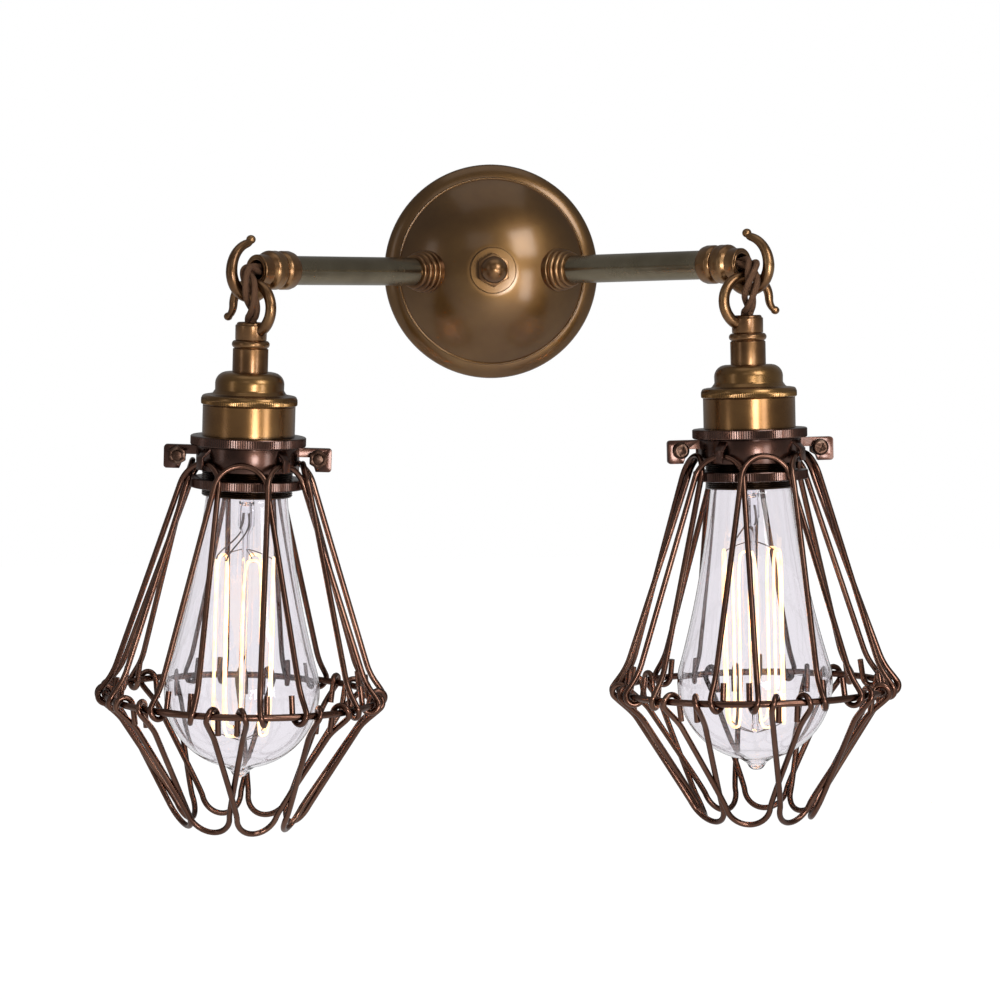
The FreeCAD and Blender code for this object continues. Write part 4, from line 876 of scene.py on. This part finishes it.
def bow_line(half_angle, depth, reach, half_width, rise):
    """Control points of a wire of the cage whose bow is at the front: a tail, an
    eye round the hoop, a kink, a leg, the round bow, and the same way back."""
    outward = out_at(0)
    across = out_at(90)
    end_reach = HOOP_RADIUS * math.cos(math.radians(half_angle))
    slope = (end_reach - reach) / abs(HOOP_DEPTH - depth)
    skew = 1.45
    bow = []
    rounding = 1 / math.cos(math.pi / BOW_STEPS / 2)
    for k in range(BOW_STEPS + 1):
        angle = math.pi * (1 - k / BOW_STEPS)
        size = half_width * (1 if k in (0, BOW_STEPS) else rounding)
        sideways = size * math.cos(angle)
        below = half_width - size * math.sin(angle)
        away = reach + below * slope - skew * math.cos(angle)
        bow.append(outward * away + across * sideways + Vector((0, 0, -depth - rise * below)))
    first = eye_line(-half_angle, 1, bow[0], rise)
    last = eye_line(half_angle, -1, bow[-1], rise)
    return first + bow + last[::-1]


def eye_line(azimuth, shift_way, shoulder, rise):
    """Tail and eye at a wire's end, and the kink where its leg leaves the cone."""
    outward = out_at(azimuth)
    upward = Vector((0, 0, rise))
    across = out_at(azimuth + 90) * shift_way
    centre = outward * HOOP_RADIUS - Vector((0, 0, HOOP_DEPTH))
    kink = centre + (shoulder - centre) * (KINK / abs(shoulder.z - centre.z))
    away = kink - centre
    leave = (math.atan2(abs(away.z), away.dot(outward))
             - math.acos(EYE / math.hypot(away.dot(outward), away.z)))
    step = (math.pi + leave) / EYE_STEPS
    eye = EYE / math.cos(step / 2)
    points = []
    for k in range(EYE_STEPS + 1):
        angle = k * step - math.pi
        points.append(centre + outward * (eye * math.cos(angle))
                      + upward * (eye * math.sin(angle))
                      + across * (EYE_SHIFT * (1 - k / EYE_STEPS)))
    tail = points[0] + upward * TAIL - outward * TAIL_LEAN
    near_tail = points[0].lerp(tail, 0.2)
    far_kink = kink.lerp(shoulder, 0.12)
    return [tail, near_tail] + points + [kink, far_kink]


def make_cage(name, side, body, place):
    """Arches, hoop and loops. Of each kind one wire is bent and copied round."""
    cage = cage_place(side, place)
    pitch = 360 / CAGE_WIRES
    arch = bow_line(half_angle=32, depth=56, reach=22.6, half_width=11, rise=1)
    loop = bow_line(half_angle=30.5, depth=206, reach=22, half_width=9, rise=-1)
    sets = (("arches", 0.0, arch), ("loops", 0.5, loop))
    for label, offset, points in sets:
        pattern = wire(f"{name}_{label}_wire", points, WIRE, Matrix.Identity(4),
                       around=4, finesse=5)
        turns = [CAGE_TURN[name] + pitch * (k + offset) for k in range(CAGE_WIRES)]
        wires = [copied(pattern, lowered(cage, 0, turn)) for turn in turns]
        bpy.data.objects.remove(pattern)
        finished(joined(f"{name}_{label}_bent", *wires), body, f"{name}_cage_{label}")
    only()
    bpy.ops.mesh.primitive_circle_add(
        vertices=HOOP_STEPS, radius=HOOP_RADIUS / math.cos(math.pi / HOOP_STEPS) * MM)
    bpy.ops.object.convert(target="CURVE")
    hoop = bpy.context.object
    weld = out_at(WELD_AT) * HOOP_RADIUS * MM
    for spot in hoop.data.splines[0].points:
        near = (spot.co.to_3d() - weld).length < WELD_REACH * MM
        spot.radius = WELD_SWELL if near else 1
    hoop = rounded(hoop, HOOP_WIRE, lowered(cage, HOOP_DEPTH), "NURBS", around=5, finesse=4,
                   open_ended=False)
    hoop.name = name + "_hoop_ring"
    finished(hoop, body, name + "_cage_hoop")


def make_collar(name, body):
    """Both halves of the clamp collar, with its screws and nuts."""
    from_node(name + "_collar_screw_half", body, 0.22)
    from_node(name + "_collar_nut_half", body, 0.22)
    from_node(name + "_clamp_screws", body, 0.12)
    from_node(name + "_clamp_nuts", body, 0.25)


# ---- bulb

def make_bulb(name, place):
    """Blown glass with its tip, screw cap, inner stem and lit filament."""
    body = name + "_bulb"
    wall = GLASS_WALL
    inner = BULB - wall
    foot = -BULB_MIDDLE - math.sqrt(BULB ** 2 - PIP_ROOT ** 2)
    inner_foot = -BULB_MIDDLE - math.sqrt(inner ** 2 - (PIP_ROOT - wall) ** 2)
    glass = lathe(name + "_glass_blown", [
        (0, -BULB_TIP), (1.8, 0.2 - BULB_TIP, 3.6), (3.6, 2.1 - BULB_TIP, -9.5),
        (PIP_ROOT, foot, BULB), (BULB, -BULB_MIDDLE, BULB), (31.4, -144.4, -420),
        (16.6, -70, -22), (BULB_NECK, -58), (BULB_NECK, -53), (BULB_NECK - wall, -53),
        (BULB_NECK - wall, -58, 22 + wall), (16.6 - wall, -70, 420 + wall),
        (31.4 - wall, -144.4, -inner), (inner, -BULB_MIDDLE, -inner),
        (PIP_ROOT - wall, inner_foot, 10.3), (2.8, 2.9 - BULB_TIP), (0, 2.9 - BULB_TIP)],
        place, turns=128, steps=20, angle=50)
    glass.visible_shadow = False
    finished(glass, body, name + "_bulb_glass")
    from_node(name + "_bulb_cap", body)
    stem = lathe(name + "_stem_drawn", [
        (0, -171), (1.6, -170.4, 2.3), (1.5, -167.4), (1.5, -86), (3.4, -82),
        (3.4, -76, -20), (11.4, -56.5), (10.2, -56.5), (2.4, -74), (0, -74)],
        place, turns=48, angle=50)
    finished(stem, body, name + "_bulb_stem")
    make_filament(name, body, place)


def make_filament(name, body, place):
    """Passes of one strand, hung on spokes, with its two lead wires. The whole
    is turned so that from the front no pass stands behind another."""
    passes = 10
    top, bottom, radius = -96, -167, 12.2
    turned = 9
    line = []
    spokes = []
    for k in range(passes):
        azimuth = turned + 360 * k / passes
        high, low = (top, bottom) if k % 2 == 0 else (bottom, top)
        bulge = 0.5 if k % 3 else -0.2
        near = out_at(azimuth) * radius
        line.append(near + Vector((0, 0, high)))
        line.append(out_at(azimuth) * (radius + bulge) + Vector((0, 0, (high + low) / 2)))
        line.append(near + Vector((0, 0, low)))
        if k < passes - 1:
            far = out_at(azimuth + 360 / passes) * radius
            grip = (near + far) / 2
            outward = Vector((grip.x, grip.y, 0)).normalized()
            inner = 4 if low == top else -4
            line.append(grip + Vector((0, 0, low + (1.0 if low == top else -1.0))))
            spokes.append([outward * 1.4 + Vector((0, 0, low + inner)),
                           outward * 8 + Vector((0, 0, low + inner * 0.6)),
                           grip + Vector((0, 0, low))])
    strand = wire(name + "_strand", line, 0.6, place, around=3, finesse=3)
    finished(strand, body, name + "_filament", name=name + "_filament_strand")
    holders = [wire(f"{name}_spoke", spoke, 0.22, place, around=1, finesse=3)
               for spoke in spokes]
    for way in (0, 1):
        end = line[0] if way == 0 else line[-1]
        holders.append(wire(f"{name}_lead", [
            (1.0 - 2 * way, 0, -77), (1.6 - 3.2 * way, 0.6, -83),
            (end.x * 0.5 + 1, end.y * 0.4, -88), (end.x, end.y, end.z + 2), tuple(end)],
            0.32, place, around=2, finesse=4))
    supports = joined(name + "_filament_supports", *holders)
    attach(supports, body)
    supports.data.materials.clear()
    supports.data.materials.append(LEAD)


# ---- flex

# Route of the flex, as in the solids: along the arm from its mouth, sideways
# towards the viewer, and up. Two more points follow on the lamp's own axis.
FLEX_ROUTE = [
    (-3.0, 0.0, 0.0), (2.6, 0.0, 0.3), (8.2, 3.2, -0.2), (10.6, 6.9, -5.6),
    (9.6, 7.6, -12.2), (6.6, 4.6, -17.2),
]
FLEX_ENTRY = 3.0                    # how far it runs down into the cord grip
STRANDS = 3
STRAND_RADIUS = 1.3
STRAND_REACH = 1.4                  # from the flex's line to a core's line
STRAND_SPLAY = 0.75                 # how much further the cores part midway
STRAND_SIDES = 14
FLEX_TWISTS = 1.15
UV_ROUND = 8                        # how far U runs round a core


def make_flex(name, side, place):
    """Three braided cores twisted together along the route's own smooth line."""
    route = [arm_point(side, *point) for point in FLEX_ROUTE]
    route.append(place @ Vector((0, 0, FLEX_ENTRY * 0.9)))
    route.append(place @ Vector((0, 0, -FLEX_ENTRY)))
    curve = bpy.data.curves.new(name + "_route", "CURVE")
    curve.dimensions = "3D"
    curve.resolution_u = 16
    spline = curve.splines.new("NURBS")
    spline.points.add(len(route) - 1)
    for spot, point in zip(spline.points, route):
        spot.co = (*(point * MM), 1)
    spline.order_u = 3
    spline.use_endpoint_u = True
    guide = linked(name + "_route", curve)
    line = bpy.data.meshes.new_from_object(guide)
    path = [vertex.co.copy() for vertex in line.vertices]
    bpy.data.objects.remove(guide)
    bpy.data.meshes.remove(line)
    flex = twisted_cores(name + "_flex_braid", path)
    flex.data.materials.append(BRAID)
    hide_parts(name + "_flex")
    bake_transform(flex)


def twisted_cores(name, path):
    """A mesh of round cores that wind round a path, with a UV map along each."""
    ways = [(b - a).normalized() for a, b in zip(path, path[1:])]
    ways.append(ways[-1])
    across = ways[0].cross(Vector((0.2, 0.3, 0.9))).normalized()
    mesh = bmesh.new()
    layout = mesh.loops.layers.uv.new("UVMap")
    sides = STRAND_SIDES
    frames = []
    travelled = [0.0]
    for k, way in enumerate(ways):
        across = (across - way * across.dot(way)).normalized()
        frames.append((across.copy(), way.cross(across)))
        if k:
            travelled.append(travelled[-1] + (path[k] - path[k - 1]).length)
    for core in range(STRANDS):
        rings = []
        for point, (u, v), run in zip(path, frames, travelled):
            along = run / travelled[-1]
            turn = 2 * math.pi * (core / STRANDS + FLEX_TWISTS * along)
            reach = STRAND_REACH + STRAND_SPLAY * math.sin(math.pi * along) ** 2
            middle = point + (u * math.cos(turn) + v * math.sin(turn)) * reach * MM
            rings.append([mesh.verts.new(
                middle + (u * math.cos(2 * math.pi * k / sides)
                          + v * math.sin(2 * math.pi * k / sides)) * STRAND_RADIUS * MM)
                for k in range(sides)])
        for r, (near, far) in enumerate(zip(rings, rings[1:])):
            for k in range(sides):
                after = (k + 1) % sides
                face = mesh.faces.new((near[k], near[after], far[after], far[k]))
                face.smooth = True
                spots = ((k, r), (k + 1, r), (k + 1, r + 1), (k, r + 1))
                for loop, (column, row) in zip(face.loops, spots):
                    loop[layout].uv = (column / sides * UV_ROUND, travelled[row] / MM)
        mesh.faces.new(rings[0][::-1])
        mesh.faces.new(rings[-1])
    data = bpy.data.meshes.new(name)
    mesh.to_mesh(data)
    mesh.free()
    return linked(name, data)


# ---- studio and camera

CAMERA_SPOT = (-60.9, -1355.5, -30.0)
CAMERA_YAW = 2.68
CAMERA_DOWN = 2.95
CAMERA_ROLL = 0.84
FOCAL_PIXELS = 3100
PICTURE_PIXELS = 1000
SENSOR = 36                         # width of the camera's sensor

LIT_SPOT = (0, -0.08, -0.1)         # the middle of the object, in metres
# Azimuth and elevation; distance, width and height in metres; watts
SOFTBOXES = {
    "key": (37.7, 34.3, 0.71, 0.26, 0.3, 1.6),
    "low_key": (37.7, -4, 0.59, 0.12, 0.3, 0.7),
    "streak": (13.0, -3, 1.33, 0.3, 0.34, 6.5),
    "front": (-10, 32, 2.2, 0.9, 0.6, 1.0),
    "fill": (-60, 12, 2.0, 0.35, 1.2, 1.5),
    "top": (10, 82, 1.8, 1.6, 1.0, 2.5),
}
BULB_WATTS = 0.12
FILAMENT_DEPTH = 132
AMBIENT_LEVEL = 0.45                # the world's strength for dull surfaces
GLOSSY_LEVEL = 0.22                 # and where metal mirrors it
FLOOR_LEVEL = -0.62
FLOOR_GLOW = 1.12
FLOOR_GLOW_SHARE = 0.9


def make_camera():
    """The view from which the object's proportions were taken."""
    data = bpy.data.cameras.new("camera")
    data.sensor_width = SENSOR
    data.lens = FOCAL_PIXELS / PICTURE_PIXELS * SENSOR
    camera = linked("camera", data)
    yaw = math.radians(CAMERA_YAW)
    down = math.radians(CAMERA_DOWN)
    ahead = Vector((math.sin(yaw) * math.cos(down), math.cos(yaw) * math.cos(down),
                    -math.sin(down)))
    turn = ahead.to_track_quat("-Z", "Y").to_matrix().to_4x4()
    roll = Matrix.Rotation(math.radians(-CAMERA_ROLL), 4, "Z")
    camera.matrix_world = Matrix.Translation(Vector(CAMERA_SPOT) * MM) @ turn @ roll
    data.clip_start = 0.05
    data.clip_end = 20
    bpy.context.scene.camera = camera


def softbox(name, azimuth, elevation, distance, width, height, watts):
    """A soft lamp aimed at the middle of the object."""
    data = bpy.data.lights.new(name, "AREA")
    data.shape = "RECTANGLE"
    data.size = width
    data.size_y = height
    data.energy = watts
    lamp = linked(name, data)
    lamp.visible_camera = False
    lamp.visible_transmission = False
    a = math.radians(azimuth)
    e = math.radians(elevation)
    away = Vector((math.sin(a) * math.cos(e), -math.cos(a) * math.cos(e), math.sin(e)))
    turn = (-away).to_track_quat("-Z", "Y").to_matrix().to_4x4()
    lamp.matrix_world = Matrix.Translation(Vector(LIT_SPOT) + away * distance) @ turn


def make_world():
    """White to the camera and through glass, dim where metal mirrors it."""
    world = bpy.data.worlds.new("studio")
    bpy.context.scene.world = world
    world.use_nodes = True
    tree = world.node_tree
    background = tree.nodes["Background"]
    rays = add(tree, "ShaderNodeLightPath")
    dimmed = range_from(tree, rays.outputs["Is Glossy Ray"], AMBIENT_LEVEL, GLOSSY_LEVEL)
    level = greater_of(tree, dimmed, seen_directly(tree, rays))
    tree.links.new(level, background.inputs["Strength"])
    background.inputs["Color"].default_value = (1, 1, 1, 1)


def make_floor():
    """A pale floor well below the lamps that shows as the white background."""
    only()
    bpy.ops.mesh.primitive_plane_add(size=14, location=(0, 0, FLOOR_LEVEL))
    floor = bpy.context.object
    floor.name = "floor"
    material, tree, shader = new_material("pale_floor")
    shader.inputs["Base Color"].default_value = (0.85, 0.85, 0.85, 1)
    shader.inputs["Roughness"].default_value = 0.9
    glow = add(tree, "ShaderNodeEmission", Strength=FLOOR_GLOW)
    mix = add(tree, "ShaderNodeMixShader")
    seen = seen_directly(tree, add(tree, "ShaderNodeLightPath"))
    part = add(tree, "ShaderNodeMath", operation="MULTIPLY")
    part.inputs[1].default_value = FLOOR_GLOW_SHARE
    tree.links.new(seen, part.inputs[0])
    tree.links.new(part.outputs["Value"], mix.inputs["Fac"])
    tree.links.new(shader.outputs["BSDF"], mix.inputs[1])
    tree.links.new(glow.outputs["Emission"], mix.inputs[2])
    tree.links.new(mix.outputs["Shader"], tree.nodes["Material Output"].inputs["Surface"])
    floor.data.materials.append(material)


def make_lights():
    """The soft lamps, and the warm light that each lit bulb gives."""
    for name, setting in SOFTBOXES.items():
        softbox(name, *setting)
    for name, side in SIDES.items():
        data = bpy.data.lights.new(name + "_bulb_light", "POINT")
        data.energy = BULB_WATTS
        data.color = (1.0, 0.34, 0.1)
        data.shadow_soft_size = 0.012
        lamp = linked(name + "_bulb_light", data)
        lamp.visible_camera = False
        lamp.visible_transmission = False
        lamp.visible_glossy = False
        lamp.parent = frame["bodies"][name + "_bulb"]
        lamp.location = grip_place(name, side) @ Vector((0, 0, -FILAMENT_DEPTH)) * MM


def main():
    """The studio, then each side's arm and lamp, then the wall part."""
    bpy.context.scene.view_settings.view_transform = "Standard"
    make_camera()
    make_world()
    make_floor()
    make_lights()
    for name, side in SIDES.items():
        body = name + "_lamp"
        place = grip_place(name, side)
        make_flex(name, side, place)
        make_arm(name, side)
        make_crook(name, body, place)
        make_neck(name, body, place)
        make_holder(name, body, place)
        make_shade_rings(name, place)
        make_collar(name, body)
        make_cage(name, side, body, place)
        make_bulb(name, place)
    make_wall_part()
    only()


main()
